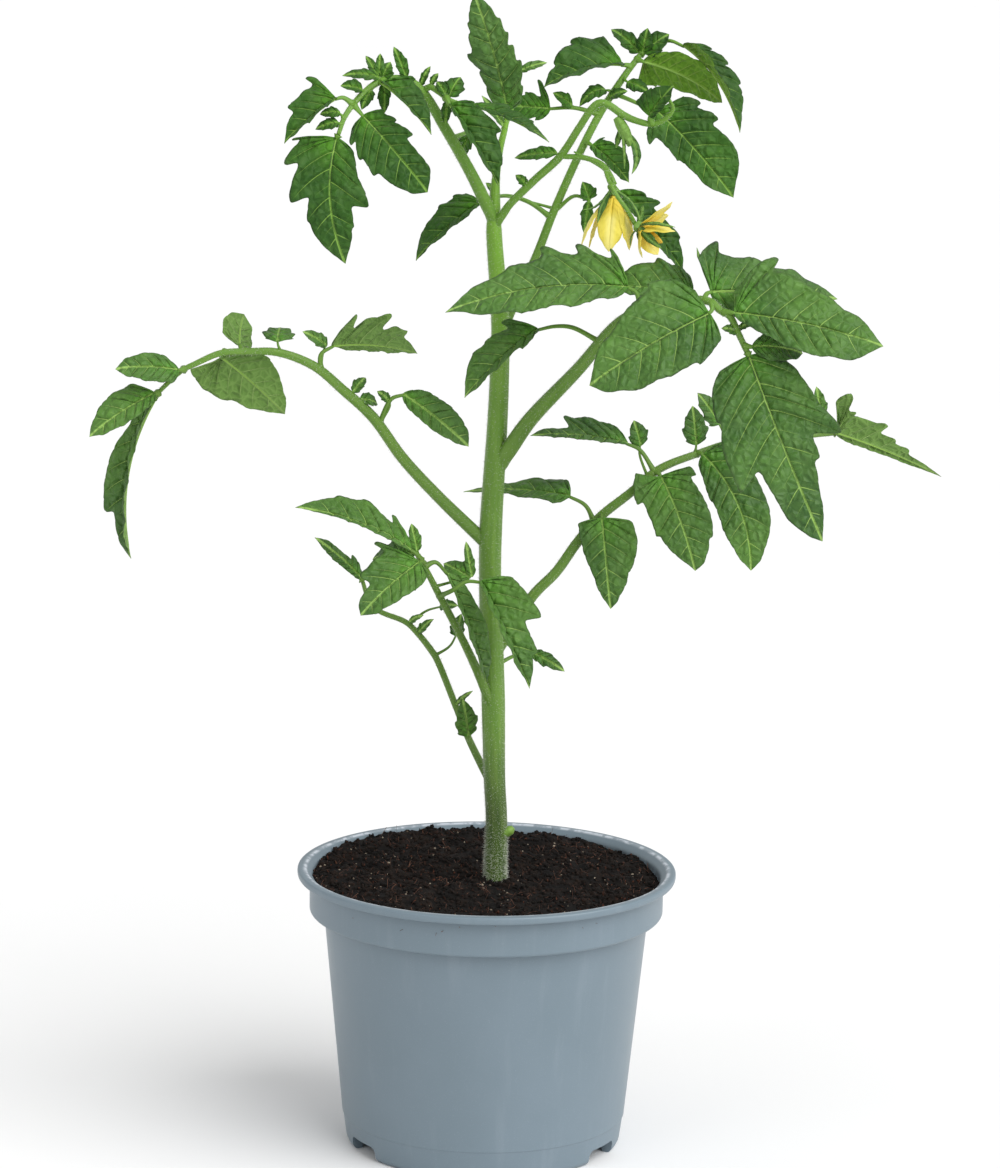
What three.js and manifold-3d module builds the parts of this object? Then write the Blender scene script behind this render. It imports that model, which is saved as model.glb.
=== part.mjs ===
// A young tomato plant in a round nursery pot, in millimetres, +Z up.
// The origin is the centre of the pot's standing face, and the plant's front is towards -Y.
import * as THREE from "three";
import { mergeVertices } from "three/addons/utils/BufferGeometryUtils.js";
import Module from "manifold-3d";

const wasm = await Module();
wasm.setup();

// ---- driving dimensions ----

const GAP = 0.3; // between pieces that touch
const POT = {
  height: 111.4,
  rimRadius: 75,
  rimInner: 71.8,
  lipHeight: 3.2,
  collarRadius: 70.1,
  collarBottom: 94,
  bodyTopRadius: 64.4,
  bodyLowRadius: 56.2,
  bodyLowHeight: 12,
  footRadius: 53.2,
  footWidth: 2.7,
  floorHeight: 6.5,
  wall: 1.3,
  floorThickness: 1.5,
  padRadius: 17,
  segments: 44,
};
const NOTCH = { width: 18.5, height: 5.9, corner: 2.5, turns: [60, 180, 300] };
const DRAIN = { radius: 4, ring: 34, count: 6 };
const SOIL = { level: 107, fall: 1.3, lump: 0.5, crown: 1 };
const BUD_KNOB = { centre: [8.2, -5, 127.5], radii: [2.6, 2, 2.3] };
const BLADE = { thickness: 0.7, stalkHalf: 0.9, tipHalf: 0.25, notchRun: 0.012 };
const SMALL_BLADE = { thickness: 0.6, stalkHalf: 0.5, tipHalf: 0.2, notchRun: 0.012 };
const STALK = { sides: 6, step: 14 };
const PETIOLULE = { start: 1.0, end: 0.7 };

const COLOUR = {
  pot: 0x82969f,
  soil: 0x2b201c,
  stem: 0x5f9434,
  stalk: 0x5c8f38,
  leaf: 0x3d7335,
  petal: 0xf4dc4a,
  anther: 0xe8b21c,
  sepal: 0x3f7a2f,
};

// ---- the plant's plan: routes are [x, y, z, radius], leaflets run from base to tip ----

// A side of a leaflet is a list of lobes [place along the midrib 0..1, width, depth of the notch after
// it 0..1].
const MAIN_STEM = [
  [4, -4, 97, 4.4], [3.5, -4, 106, 4.3], [3.5, -4, 132, 4.2], [2.5, -4, 148, 4.2],
  [1.5, -4, 180.5, 4.6], [0.5, -3, 204, 4.5], [-0.5, -3, 230, 4.3], [-0.5, -3, 248, 4.4],
  [1.5, -2, 291.5, 3.9], [2, -2, 311, 3.7], [2, -2, 328.5, 3.5], [-1, -1, 365, 3],
  [-1, 0, 373, 2.4], [-0.5, 2, 385.5, 1.5], [1, 3, 397, 1.3], [2.5, 4, 403.5, 1.2], [3.5, 5, 409.8, 1],
];

const LEAVES = [
  {
    name: "top_left_leaf",
    route: [
      [-1.5, -1, 370, 2.4], [-10.5, -6, 388, 2.2], [-20, -10, 404.5, 2], [-29.5, -14, 419.5, 1.8],
      [-35.5, -17, 423.5, 1.6], [-44, -21, 423.5, 1.4], [-51, -26, 419, 1.2], [-57.5, -32, 411, 1],
      [-60, -35, 404, 0.8],
    ],
    branches: [
      [[-29, -13, 419, 1.2], [-26, -15, 421, 1.2], [-21.5, -17, 418.5, 1.1], [-19, -18, 416.5, 1],
        [-12.5, -18, 414.3, 0.8]],
      [[-17, -8.5, 401, 1], [-13.5, -2, 402, 0.8], [-10.5, 3.5, 402.8, 0.7]],
    ],
    leaflets: [
      { at: 1, base: [-60.5, -35, 403], tip: [-56.5, -44, 356.5], face: [0, -1, 0.15], bend: 4, arch: 3,
        left: [[0.12, 8], [0.28, 10], [0.6, 14.5, 0.46], [0.75, 7.5, 0.12]],
        right: [[0.1, 16.5, 0.26], [0.27, 18, 0.35], [0.51, 15.5, 0.52], [0.64, 9.5, 0.1]] },
      { at: 0.87, base: [-51, -31, 411], tip: [-26, -40, 383.5], face: [0.1, -1, 0.3], arch: 3,
        left: [[0.12, 7.5, 0.2], [0.27, 8.5, 0.2], [0.49, 9.5, 0.33], [0.8, 6.5]],
        right: [[0.05, 7], [0.19, 11.5, 0.26], [0.36, 12.5, 0.11], [0.57, 12.5, 0.16], [0.88, 6]] },
      { at: 0.87, base: [-61, -32, 417.5], tip: [-80, -40, 401], face: [-0.2, -1, 0.5], arch: 2,
        fold: [55, 0],
        left: [[0.3, 8, 0.15], [0.6, 7, 0.15]],
        right: [[0, 12, 0.14], [0.14, 14, 0.3], [0.63, 9, 0.35]] },
      { at: 0.71, base: [-44.5, -24.5, 423], tip: [-25, -33, 404.5], face: [0.2, -1, 0.6], arch: 3,
        fold: [0, 60],
        left: [[0.31, 10, 0.16], [0.57, 7, 0.08]],
        right: [[0.28, 8, 0.1], [0.55, 6, 0.1]] },
      { at: 0.61, branch: 0, base: [-18.5, -21, 415], tip: [0.5, -26, 385], face: [0.2, -1, 0.3], arch: 3,
        fold: [0, 62],
        left: [[0.13, 8.5, 0.15], [0.54, 11, 0.24], [0.84, 5, 0.28]],
        right: [[0.2, 7, 0.1], [0.5, 8, 0.15], [0.8, 4]] },
      { at: 1, branch: 0, base: [-10.5, -16, 414.2], tip: [19.5, -21, 401.2], face: [0, -0.5, 1],
        arch: 2, fold: [0, 25],
        left: [[0.42, 6.5, 0.25], [0.74, 5, 0.32]],
        right: [[0.4, 6, 0.2], [0.75, 4]] },
    ],
    small: [
      { at: 0.72, base: [-45.5, -22, 424.6], tip: [-59, -26, 425.5], width: 5, arch: 2 },
      { at: 0.8, base: [-51.5, -27, 420.2], tip: [-59.5, -30, 422], width: 6 },
      { at: 0.76, base: [-48, -25, 420], tip: [-51.5, -28, 413], width: 5 },
      { at: 0.7, base: [-43.3, -22, 422.6], tip: [-43, -26, 411.5], width: 5 },
      { at: 0.94, base: [-59.5, -33, 412], tip: [-67, -34, 411.5], width: 5 },
      { at: 0.96, base: [-60, -34, 408.5], tip: [-68.5, -36, 406], width: 5 },
      { at: 0.72, base: [-45.5, -21, 424.8], tip: [-50.5, -18, 432.5], width: 4 },
      { at: 0.71, base: [-45, -20.6, 424.8], tip: [-45, -18, 433.5], width: 4 },
      { at: 0.7, base: [-43.6, -20.6, 424.6], tip: [-41, -20, 430.5], width: 6 },
      { at: 0.62, base: [-35, -18, 424.6], tip: [-40, -16, 436], width: 5 },
      { at: 0.53, base: [-29.6, -14, 421.4], tip: [-26, -12, 428.5], width: 3 },
      { at: 0.2, branch: 0, base: [-25.6, -15, 421.8], tip: [-23, -14, 426], width: 3 },
      { at: 0.6, branch: 0, base: [-18.7, -17.4, 417.6], tip: [-14.5, -12, 424.5], width: 8 },
      { at: 0.55, branch: 0, base: [-19.6, -17.4, 417.6], tip: [-23.5, -15, 423], width: 5 },
      { at: 0.57, branch: 0, base: [-19.4, -17.6, 415.8], tip: [-20, -17, 407], width: 4 },
      { at: 1, branch: 1, base: [-10.3, 4, 402.6], tip: [-14, 10, 392], width: 7 },
    ],
  },
  {
    name: "flower_truss",
    route: [
      [0.5, -2, 368.5, 1.6], [5, -5, 375.5, 1.5], [14.5, -8, 385.5, 1.5], [24, -12, 395, 1.5],
      [31, -16, 406.5, 1.4], [36, -19, 414.5, 1.4], [38.5, -20, 416.3, 1.4], [41.5, -21, 415.8, 1.4],
      [47.5, -22, 412, 1.4], [52.5, -23, 410, 1.2], [58.5, -24, 409, 1.1], [63, -25, 411, 1],
      [66, -26, 415, 0.8], [64.5, -27, 418.5, 0.6],
    ],
    branches: [
      [[24, -12, 395, 1], [32.5, -15, 395, 1], [40, -18, 392.6, 1], [43, -19.3, 388.5, 1.1],
        [44.5, -20, 385.2, 1.2]],
      [[41, -19, 391, 0.8], [42.5, -24, 387, 0.8], [45.5, -28, 382, 0.8], [49.5, -28.5, 376.5, 0.8],
        [52.5, -26.7, 371.3, 0.9]],
    ],
    leaflets: [
      { at: 0.86, base: [57.3, -25.5, 412], tip: [66, -29.5, 424], face: [-0.5, -1, 0.3], arch: 1,
        fold: [10, 25],
        left: [[0.09, 7.5], [0.6, 6, 0.16]],
        right: [[0.2, 3.5], [0.63, 4.5]] },
      { at: 0.35, branch: 1, base: [46.5, -12, 382], tip: [72, -5, 350.4], face: [0.2, -1, 0.4], arch: 3,
        fold: [0, 40],
        left: [[0.21, 7, 0.11], [0.35, 9.5, 0.43], [0.72, 7, 0.21]],
        right: [[0.25, 5], [0.63, 4.5]] },
    ],
    small: [
      { at: 0.35, base: [22.8, -11.6, 396.2], tip: [6.5, -6, 393.5], width: 6, arch: 1 },
      { at: 0.17, base: [11, -7, 383.3], tip: [7, -6, 387], width: 4 },
    ],
  },
  {
    name: "back_right_leaf",
    route: [
      [2, 1, 324, 2], [9.5, 8, 341, 1.8], [15, 11, 352.5, 1.7], [23, 17, 373, 1.6], [38, 25, 405.5, 1.5],
      [49, 29, 423, 1.3], [55, 31, 431, 1.1],
    ],
    branches: [[[22, 16.3, 370.5, 0.8], [30, 16, 377, 0.7], [35.5, 14, 375.8, 0.6]]],
    leaflets: [
      { at: 0.41, via: [[12, 16, 374.5], [2.5, 17, 376.5]], base: [-6, 15, 374], tip: [-31, 6, 352],
        face: [-0.3, -0.7, 0.8], arch: 2, fold: [30, 0],
        left: [[0.26, 6], [0.58, 5]],
        right: [[0.05, 9, 0.16], [0.19, 10.5, 0.1], [0.4, 10.5, 0.1], [0.7, 6.5]] },
      { at: 0.77, via: [[29.5, 23, 410.5]], base: [20, 22, 410], tip: [4.5, 20, 411], face: [0, -1, 0.4],
        arch: 1,
        left: [[0.39, 5.5, 0.28], [0.74, 5.5]],
        right: [[0.37, 11, 0.62], [0.66, 6, 0.27], [0.91, 3.5]] },
      { at: 0.95, base: [48, 28.6, 427], tip: [17.5, 20, 418.5], face: [-0.2, -0.8, 0.8], arch: 4,
        fold: [35, 0],
        left: [[0.25, 10, 0.2], [0.61, 8]],
        right: [[0.1, 15, 0.06], [0.5, 15.5, 0.15], [0.79, 8, 0.27]] },
      { at: 1, via: [[60, 33, 434.5], [66, 31, 436.5]], base: [71.5, 28, 435], tip: [93.5, 12, 403],
        face: [0.5, -0.7, 0.6], arch: 5,
        fold: [0, 55],
        left: [[0.17, 9, 0.31], [0.38, 10, 0.26], [0.6, 10, 0.19]],
        right: [[0.35, 9, 0.15], [0.57, 7]] },
      { at: 0.98, base: [56, 28, 428.5], tip: [86.5, 16, 414], face: [0.1, 0.9, 0.5], arch: 4,
        left: [[0, 10], [0.21, 10.5, 0.16], [0.53, 7], [0.75, 5]],
        right: [[0.12, 5], [0.35, 8.5], [0.58, 9], [0.79, 6.5]] },
      { at: 0.85, via: [[51, 16, 414.5]], base: [61.5, 12, 410.5], tip: [91, 0, 379],
        face: [0.2, -1, 0.3], arch: 4,
        left: [[0.05, 11.5, 0.05], [0.21, 14.5, 0.2], [0.42, 15, 0.23], [0.67, 12.5]],
        right: [[0.21, 12.5, 0.36], [0.47, 8.5, 0.15], [0.74, 6]] },
      { at: 0.67, base: [36.5, 19, 396.5], tip: [51, 12, 383], face: [0.3, -1, 0.4], arch: 2,
        fold: [0, 30],
        left: [[0.06, 6, 0.26], [0.48, 7]],
        right: [[0.29, 5], [0.72, 4]] },
    ],
    small: [
      { at: 1, base: [54.4, 31.4, 431.6], tip: [43.5, 38, 440], width: 7, arch: 2 },
      { at: 0.44, via: [[12, 16.5, 374.5]], base: [-1, 15.4, 377], tip: [-4.5, 12, 382], width: 4 },
      { at: 0.79, base: [28.4, 23, 411.2], tip: [21, 20, 416.5], width: 6 },
      { at: 0.85, base: [41.5, 27, 417.3], tip: [31.5, 24, 411], width: 6, arch: 4 },
      { at: 1, base: [56, 30.6, 432], tip: [57.5, 28, 441.5], width: 7 },
      { at: 1, base: [56.4, 30.4, 431.6], tip: [66, 31, 439], width: 10 },
      { at: 0.91, base: [50, 25.4, 420.6], tip: [58.5, 21, 417], width: 6 },
      { at: 0.86, base: [43.6, 24, 414.6], tip: [50, 21, 417.5], width: 5 },
      { at: 1, branch: 0, base: [35.6, 14, 376], tip: [33, 12, 383], width: 7 },
      { at: 1, branch: 0, base: [35.8, 13.8, 375.4], tip: [34, 10, 363], width: 5 },
    ],
  },
  {
    name: "front_right_leaf",
    route: [
      [2.5, -2, 274.5, 2.9], [12, -10, 292.5, 2.6], [29, -26, 315, 2.2], [47, -42, 336.5, 1.9],
        [62, -52, 344, 1.7],
      [80, -60, 346.5, 1.5], [84, -62, 343.5, 1.4], [87.5, -63, 341.5, 1.3], [91, -64, 335, 1.2],
      [94.5, -65.2, 328, 1.1],
    ],
    branches: [],
    leaflets: [
      { at: 0.64, base: [50, -46, 349.5], tip: [-18.5, -58, 340.5], face: [-0.1, -0.6, 0.8], bend: 3,
        arch: 3,
        left: [[0.12, 8], [0.34, 13], [0.62, 12]],
        right: [[0.09, 19, 0.29], [0.26, 21, 0.29], [0.44, 20, 0.28], [0.63, 11, 0.11]] },
      { at: 0.81, base: [74.5, -43, 345.8], tip: [44, -37, 348.2], face: [-0.1, -0.6, 0.8], arch: 2,
        left: [[0.26, 4.5], [0.62, 5]],
        right: [[0.15, 11], [0.55, 15, 0.1], [0.85, 8]] },
      { at: 0.84, base: [80, -64, 342.5], tip: [35.5, -76, 316.5], face: [-0.2, -0.9, 0.4], arch: 4,
        left: [[0.04, 11], [0.29, 16.5, 0.03], [0.63, 14], [0.88, 8]],
        right: [[0.02, 10.5, 0.05], [0.12, 19, 0.05], [0.29, 21, 0.11], [0.69, 11.5]] },
      { at: 0.82, base: [80.5, -55, 349.5], tip: [129.5, -36, 345], face: [0, -0.7, 0.8], arch: 2,
        fold: [0, -60],
        left: [[-0.02, 21, 0.37], [0.16, 23.5, 0.32], [0.4, 16.5, 0.12], [0.63, 11.5]],
        right: [[0.2, 10], [0.5, 9]] },
      { at: 0.88, base: [89, -65, 343], tip: [144.5, -70, 332], face: [0.15, -0.8, 0.5], arch: 4,
        left: [[-0.04, 8.5], [0.22, 24.5, 0.26], [0.47, 15, 0.09], [0.7, 9.5]],
        right: [[0.1, 4], [0.28, 8.5], [0.5, 12.5], [0.73, 11.5]] },
      { at: 0.98, base: [96, -66, 330.5], tip: [115, -64, 328], face: [0, -0.8, 0.6], arch: 2,
        left: [[0.44, 6.5], [0.84, 4]],
        right: [[0.4, 6], [0.81, 4]] },
      { at: 1, base: [94.8, -65.7, 327.2], tip: [123.5, -78, 259.5], face: [0.05, -1, 0.2], bend: 1,
        arch: 4,
        left: [[0.04, 10], [0.19, 15.5], [0.35, 18], [0.54, 22.5, 0.5], [0.615, 11.5, 0.25], [0.77, 6]],
        right: [[0.04, 13], [0.13, 17], [0.275, 20.5, 0.08], [0.48, 22.5], [0.63, 22, 0.48], [0.8, 9]] },
      { at: 0.48, via: [[29.5, -32, 332], [23, -33, 332.5]], base: [16.5, -34, 331.5],
        tip: [-11, -42, 306],
        face: [-0.3, -0.9, 0.5], arch: 3, fold: [40, 0],
        left: [[0.3, 7, 0.15], [0.6, 6]],
        right: [[0.23, 11.5, 0.34], [0.49, 9.5, 0.07], [0.65, 9.5, 0.09]] },
    ],
    small: [
      { at: 0.94, base: [90, -63.4, 335.5], tip: [84.5, -64, 337], width: 4 },
      { at: 0.93, base: [91, -62.6, 336.6], tip: [96, -62, 338.5], width: 3 },
    ],
  },
  {
    name: "lower_right_leaf",
    route: [
      [2.5, 0, 199, 1.9], [17.5, 4, 221, 1.7], [27, 6, 230, 1.7], [34.5, 9, 242, 1.6],
        [42.5, 11, 251.5, 1.5],
      [54, 14, 260.5, 1.5], [65, 17, 269.5, 1.4], [81, 22, 275.5, 1.3], [93.5, 27, 279, 1.2],
      [117.5, 34, 280.5, 1.1], [135.5, 40.5, 281.3, 0.9],
    ],
    branches: [],
    leaflets: [
      { at: 0.37, via: [[36.5, 10, 256]], base: [30.5, 10, 259.5], tip: [-11.5, 22, 258.5],
        face: [0, -0.5, 1], arch: 2,
        left: [[0.12, 7], [0.3, 6], [0.6, 3]],
        right: [[0.1, 9], [0.28, 8], [0.6, 3.5]] },
      { at: 0.39, base: [43, 7.6, 251.6], tip: [47, 1, 216.5], face: [0, -1, 0.2], arch: 2,
        left: [[0.1, 12], [0.28, 13], [0.62, 9, 0.09], [0.89, 3.5]],
        right: [[0.05, 9.5], [0.23, 9.5, 0.07], [0.65, 5]] },
      { at: 0.55, via: [[57.5, 16, 277.5]], base: [52.8, 14.6, 280], tip: [14.5, 6, 284],
        face: [-0.1, -0.6, 1], arch: 2,
        left: [[0.3, 2.8], [0.66, 2.4]],
        right: [[0.15, 8], [0.4, 10.5], [0.65, 10.5, 0.6]] },
      { at: 0.55, base: [66, 14, 267.5], tip: [80, 5, 231.5], face: [0.05, -1, 0.2], bend: -1, arch: 3,
        left: [[0.05, 12], [0.15, 13, 0.23], [0.5, 12], [0.74, 10, 0.16], [0.93, 4.5]],
        right: [[-0.12, 9], [0.2, 14, 0.22], [0.57, 11, 0.14]] },
      { at: 0.66, base: [82.5, 19.5, 275.5], tip: [102, 7, 231.5], face: [0.05, -1, 0.15], bend: -5,
        arch: 3,
        left: [[0.04, 9], [0.34, 15.5, 0.28], [0.56, 11], [0.88, 5]],
        right: [[0.07, 5], [0.37, 9, 0.05], [0.64, 9], [0.85, 5.5]] },
      { at: 1, base: [136.3, 40.8, 281.5], tip: [180, 52, 262.5], face: [-0.1, 0.9, 0.5], arch: 2,
        fold: [-40, 0],
        left: [[0.2, 9, 0.2], [0.5, 8, 0.2]],
        right: [[0, 20, 0.45], [0.1, 15, 0.37], [0.34, 14, 0.45], [0.51, 8, 0.4], [0.66, 5, 0.5]] },
    ],
    small: [
      { at: 0.53, base: [58, 17, 279], tip: [55, 17, 289], width: 8, via: [[57.5, 16, 276]] },
      { at: 0.65, base: [80, 21, 279], tip: [78, 18, 295], width: 10 },
      { at: 0.73, base: [89, 24, 287], tip: [80, 22, 299.5], width: 9 },
      { at: 0.97, base: [130, 37, 288], tip: [127.5, 34, 301], width: 6 },
    ],
  },
  {
    name: "left_leaf",
    route: [
      [0, -2, 240.5, 2.1], [-20.5, -6, 261.5, 1.9], [-34.5, -10, 277, 1.7], [-45.5, -14, 293.5, 1.6],
      [-57.5, -18, 304.5, 1.5], [-69, -21, 314, 1.5], [-82.5, -24, 319.5, 1.4], [-94.5, -26, 320, 1.3],
      [-104.5, -28, 319.5, 1.2], [-114, -30, 315.5, 1.1], [-119, -31, 313, 1], [-124, -32, 308.5, 0.9],
      [-128, -33, 304.5, 0.8],
    ],
    branches: [],
    leaflets: [
      { at: 0.4, via: [[-39.5, -13, 300.5]], base: [-35, -12.5, 302.6], tip: [-9.5, -10, 282],
        face: [0.2, -1, 0.4],
        arch: 3, fold: [0, -35],
        left: [[0.29, 6.5], [0.58, 7, 0.05], [0.8, 5]],
        right: [[0.22, 4], [0.5, 4.6], [0.8, 2.8]] },
      { at: 0.59, via: [[-66.5, -20, 318.5]], base: [-62.5, -18, 321.5], tip: [-29.5, -24, 320],
        face: [0.1, 0.6, 0.8],
        arch: 2, fold: [0, 12],
        left: [[0.29, 6], [0.62, 6]],
        right: [[0.2, 10], [0.35, 15, 0.5], [0.74, 17, 0.45], [0.92, 12, 0.5]] },
      { at: 0.82, base: [-104.5, -22.5, 317], tip: [-80.5, -13, 294], face: [-0.3, 0.9, 0.4], arch: 3,
        left: [[-0.15, 12], [0.19, 14.5], [0.58, 9.5]],
        right: [[0.02, 4.5], [0.25, 9.5], [0.46, 11.5, 0.05], [0.85, 5]] },
      { at: 0.77, base: [-97.5, -24, 322], tip: [-96.5, -12, 332.5], face: [-0.2, 0.9, 0.4], arch: 1,
        left: [[0.15, 7], [0.8, 5]],
        right: [[0.15, 7], [0.5, 8], [0.88, 5]] },
      { at: 0.92, base: [-120, -33.5, 313.5], tip: [-143.5, -40, 314.5], face: [-0.2, -0.8, 0.6], arch: 2,
        left: [[0.2, 7, 0.1], [0.43, 7], [0.8, 4]],
        right: [[0.44, 6], [0.76, 4.5]] },
      { at: 1, base: [-129, -34, 304.5], tip: [-153, -44, 289], face: [-0.3, -0.8, 0.5], arch: 2,
        left: [[0.2, 5], [0.45, 6], [0.72, 4.5]],
        right: [[0.23, 8.5], [0.53, 8.5, 0.06], [0.81, 4.5]] },
      { at: 1, base: [-129, -31.5, 302], tip: [-139, -24, 238.5], face: [-0.5, -0.8, 0.1], bend: 5,
        arch: 3,
        fold: [50, 10],
        left: [[0.16, 7], [0.43, 9, 0.31], [0.75, 6]],
        right: [[0.22, 5], [0.51, 9], [0.74, 9, 0.5], [0.87, 4]] },
    ],
    small: [
      { at: 0.4, via: [[-40, -13, 298.6]], base: [-40.8, -13, 299.8], tip: [-45, -13, 303.5], width: 4 },
      { at: 0.5, base: [-54, -16.6, 303.4], tip: [-49.5, -12, 308.5], width: 5 },
      { at: 0.48, base: [-51.6, -15.6, 300.4], tip: [-45, -10, 298], width: 6 },
      { at: 0.59, via: [[-66, -19.6, 317.6]], base: [-64.5, -18, 321.4], tip: [-73.5, -22, 327.5],
        width: 6 },
      { at: 0.69, base: [-83, -24, 323.5], tip: [-82.5, -12, 327.5], width: 12 },
    ],
  },
  {
    name: "lower_left_leaf",
    route: [
      [2, -5, 175.5, 1.9], [-5.5, -12, 195, 1.7], [-12, -17, 209.5, 1.5], [-21, -24, 228, 1.3],
      [-25.5, -28, 237.5, 1.1], [-28, -30, 242.5, 0.9],
    ],
    branches: [],
    leaflets: [
      { at: 0.97, base: [-31, -31.5, 245], tip: [-75, -38, 262], face: [-0.1, -0.6, 0.9], arch: 2,
        left: [[0.22, 2.4], [0.57, 2]],
        right: [[0.1, 7], [0.24, 11, 0.4], [0.5, 11.5, 0.08], [0.72, 8.5, 0.1]] },
      { at: 0.95, base: [-27.5, -33, 240.5], tip: [-49.5, -44, 221.5], face: [-0.1, -0.9, 0.5], arch: 3,
        left: [[0.08, 7], [0.33, 8.5, 0.09], [0.79, 5]],
        right: [[0.06, 8, 0.2], [0.28, 17, 0.31], [0.69, 11, 0.48], [0.9, 4]] },
      { at: 0.93, via: [[-21.5, -27, 239.5]], base: [-17, -25.5, 235], tip: [-1.5, -14, 189],
        face: [0.4, -1, 0.2],
        arch: 3, fold: [0, 55],
        left: [[0.26, 5.5], [0.5, 7], [0.75, 5]],
        right: [[0.25, 4], [0.52, 5], [0.79, 3.5]] },
      { at: 0.74, via: [[-14.5, -31, 229.5], [-9.5, -30, 232.6]], base: [-4, -28, 232.6],
        tip: [15.5, -34.5, 192],
        face: [0.1, -1, 0.3], arch: 3, fold: [0, 65],
        left: [[0.11, 12], [0.5, 15.5, 0.45], [0.76, 8.5, 0.32]],
        right: [[0.1, 5], [0.33, 7], [0.58, 6]] },
    ],
    small: [
      { at: 0.97, base: [-28.4, -28.6, 244], tip: [-31, -24.5, 254], width: 5 },
      { at: 1, base: [-29, -28.6, 243], tip: [-46, -16, 238], width: 12, arch: 2 },
      { at: 0.8, via: [[-14, -21, 231]], base: [-8, -19.6, 232], tip: [-18.5, -14, 236.5], width: 9 },
      { at: 0.8, via: [[-14, -21, 231]], base: [-7.4, -19.4, 232.4], tip: [-10, -12, 245], width: 4 },
    ],
  },
  {
    name: "lowest_leaf",
    route: [
      [2, 0, 144, 1.6], [-7.5, 8, 161, 1.4], [-13, 12, 173.5, 1.3], [-21, 16, 192, 1.3],
        [-23, 17, 195, 1.3],
      [-28.5, 19, 201.5, 1.2], [-33.5, 20, 206, 1.1], [-45, 22, 210.5, 1], [-49, 22, 216, 0.9],
        [-51, 22, 222, 0.8],
    ],
    branches: [],
    leaflets: [
      { at: 1, base: [-51.5, 22, 223], tip: [-70, 18, 240], face: [-0.1, -0.8, 0.7], arch: 2,
        left: [[0.2, 2.4], [0.58, 2.8]],
        right: [[0.38, 4.2, 0.45], [0.77, 2.4]] },
    ],
    small: [
      { at: 0.57, base: [-13.5, 14, 202], tip: [-11.5, 12, 211.5], width: 6 },
      { at: 0.73, base: [-20, 18, 213], tip: [-13, 15, 214], width: 5 },
      { at: 0.71, base: [-32.2, 19.4, 206], tip: [-26.5, 17.5, 209.5], width: 3 },
      { at: 0.66, base: [-28.2, 18.2, 202.2], tip: [-22.5, 15, 208.5], width: 4 },
      { at: 0.33, base: [-13, 11.4, 174.8], tip: [-6.5, 9, 181], width: 2.5 },
      { at: 0.19, base: [-8, 7.4, 163], tip: [-10.5, 3, 179], width: 9 },
    ],
  },
];
const TOP_LEAFLET = {
  base: [3.6, 5, 410.6], tip: [-10, -2, 456], face: [-0.2, -1, 0], bend: 1.5, arch: 2,
  left: [[0.08, 5], [0.23, 6.5, 0.11], [0.38, 7.5, 0.15], [0.55, 10.5, 0.25], [0.71, 7.5, 0.18],
    [0.8, 6.5, 0.19]],
  right: [[0.08, 6], [0.2, 8, 0.15], [0.41, 10, 0.25], [0.54, 8.5, 0.26], [0.64, 8, 0.19],
    [0.76, 6.5, 0.18]],
};
const STEM_SMALL = [
  { base: [2.2, 4, 404.6], tip: [-6.5, 2, 416.5], width: 4 },
  { base: [8, 10, 425.2], tip: [18.5, 14, 428.5], width: 4, from: [2.4, 4, 403.5], via: [[5.5, 9, 412]] },
  { base: [16.5, 6, 197.5], tip: [29.5, 4, 190.5], width: 6, from: [1, -3, 193] },
];

const FLOWERS = [
  { name: "flower_1", centre: [44.6, -20.1, 382.6], axis: [-0.04, -0.08, -1], petal: 20, width: 7.5,
    open: 14, turn: 6,
    sepal: 13, sepalOpen: 42 },
  { name: "flower_2", centre: [53.6, -27.2, 370.6], axis: [0.8, -0.35, -0.5], petal: 16, width: 8,
    open: 52, turn: 25,
    sepal: 12, sepalOpen: 62 },
];
const BUD = {
  centre: [47, -22, 407.8], radii: [2.6, 2.6, 3.2],
  sepals: [
    { base: [48, -22.4, 406], tip: [51.5, -23, 390], width: 6, face: [0.3, -1, 0.2], arch: 3 },
    { base: [45.6, -22, 406], tip: [47.5, -22, 390], width: 2, face: [-0.3, -1, 0.2], arch: -1 },
    { base: [46.6, -20.6, 406], tip: [44, -16, 398], width: 3, face: [0, -1, 0.2], arch: 1 },
  ],
};

// ---- vectors, closed meshes and solids ----

const vec = (p) => new THREE.Vector3(p[0], p[1], p[2]);
const rad = THREE.MathUtils.degToRad;

function meshOf(points, faces) {
  const geometry = new THREE.BufferGeometry();
  geometry.setAttribute("position", new THREE.Float32BufferAttribute(points.flatMap((p) => p.toArray()),
    3));
  geometry.setIndex(faces.flat());
  return geometry;
}

function solid(geometry) {
  const bare = geometry.clone();
  bare.deleteAttribute("normal");
  bare.deleteAttribute("uv");
  const merged = mergeVertices(bare, 1e-4);
  return new wasm.Manifold(
    new wasm.Mesh({
      numProp: 3,
      vertProperties: new Float32Array(merged.attributes.position.array),
      triVerts: new Uint32Array(merged.index.array),
    }),
  );
}

function geometryOf(made) {
  const mesh = made.getMesh();
  const geometry = new THREE.BufferGeometry();
  geometry.setAttribute("position", new THREE.BufferAttribute(new Float32Array(mesh.vertProperties), 3));
  geometry.setIndex(new THREE.BufferAttribute(new Uint32Array(mesh.triVerts), 1));
  return geometry;
}

const joined = (solids) => solids.reduce((all, one) => all.add(one));

function quad(faces, a, b, c, d) {
  faces.push([a, b, c], [a, c, d]);
}

function smooth(route) {
  const curve = new THREE.CatmullRomCurve3(route.map(vec), false, "centripetal");
  return { curve, steps: (step) => Math.max(route.length > 2 ? 2 : 1,
    Math.round(curve.getLength() / step)) };
}

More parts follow.
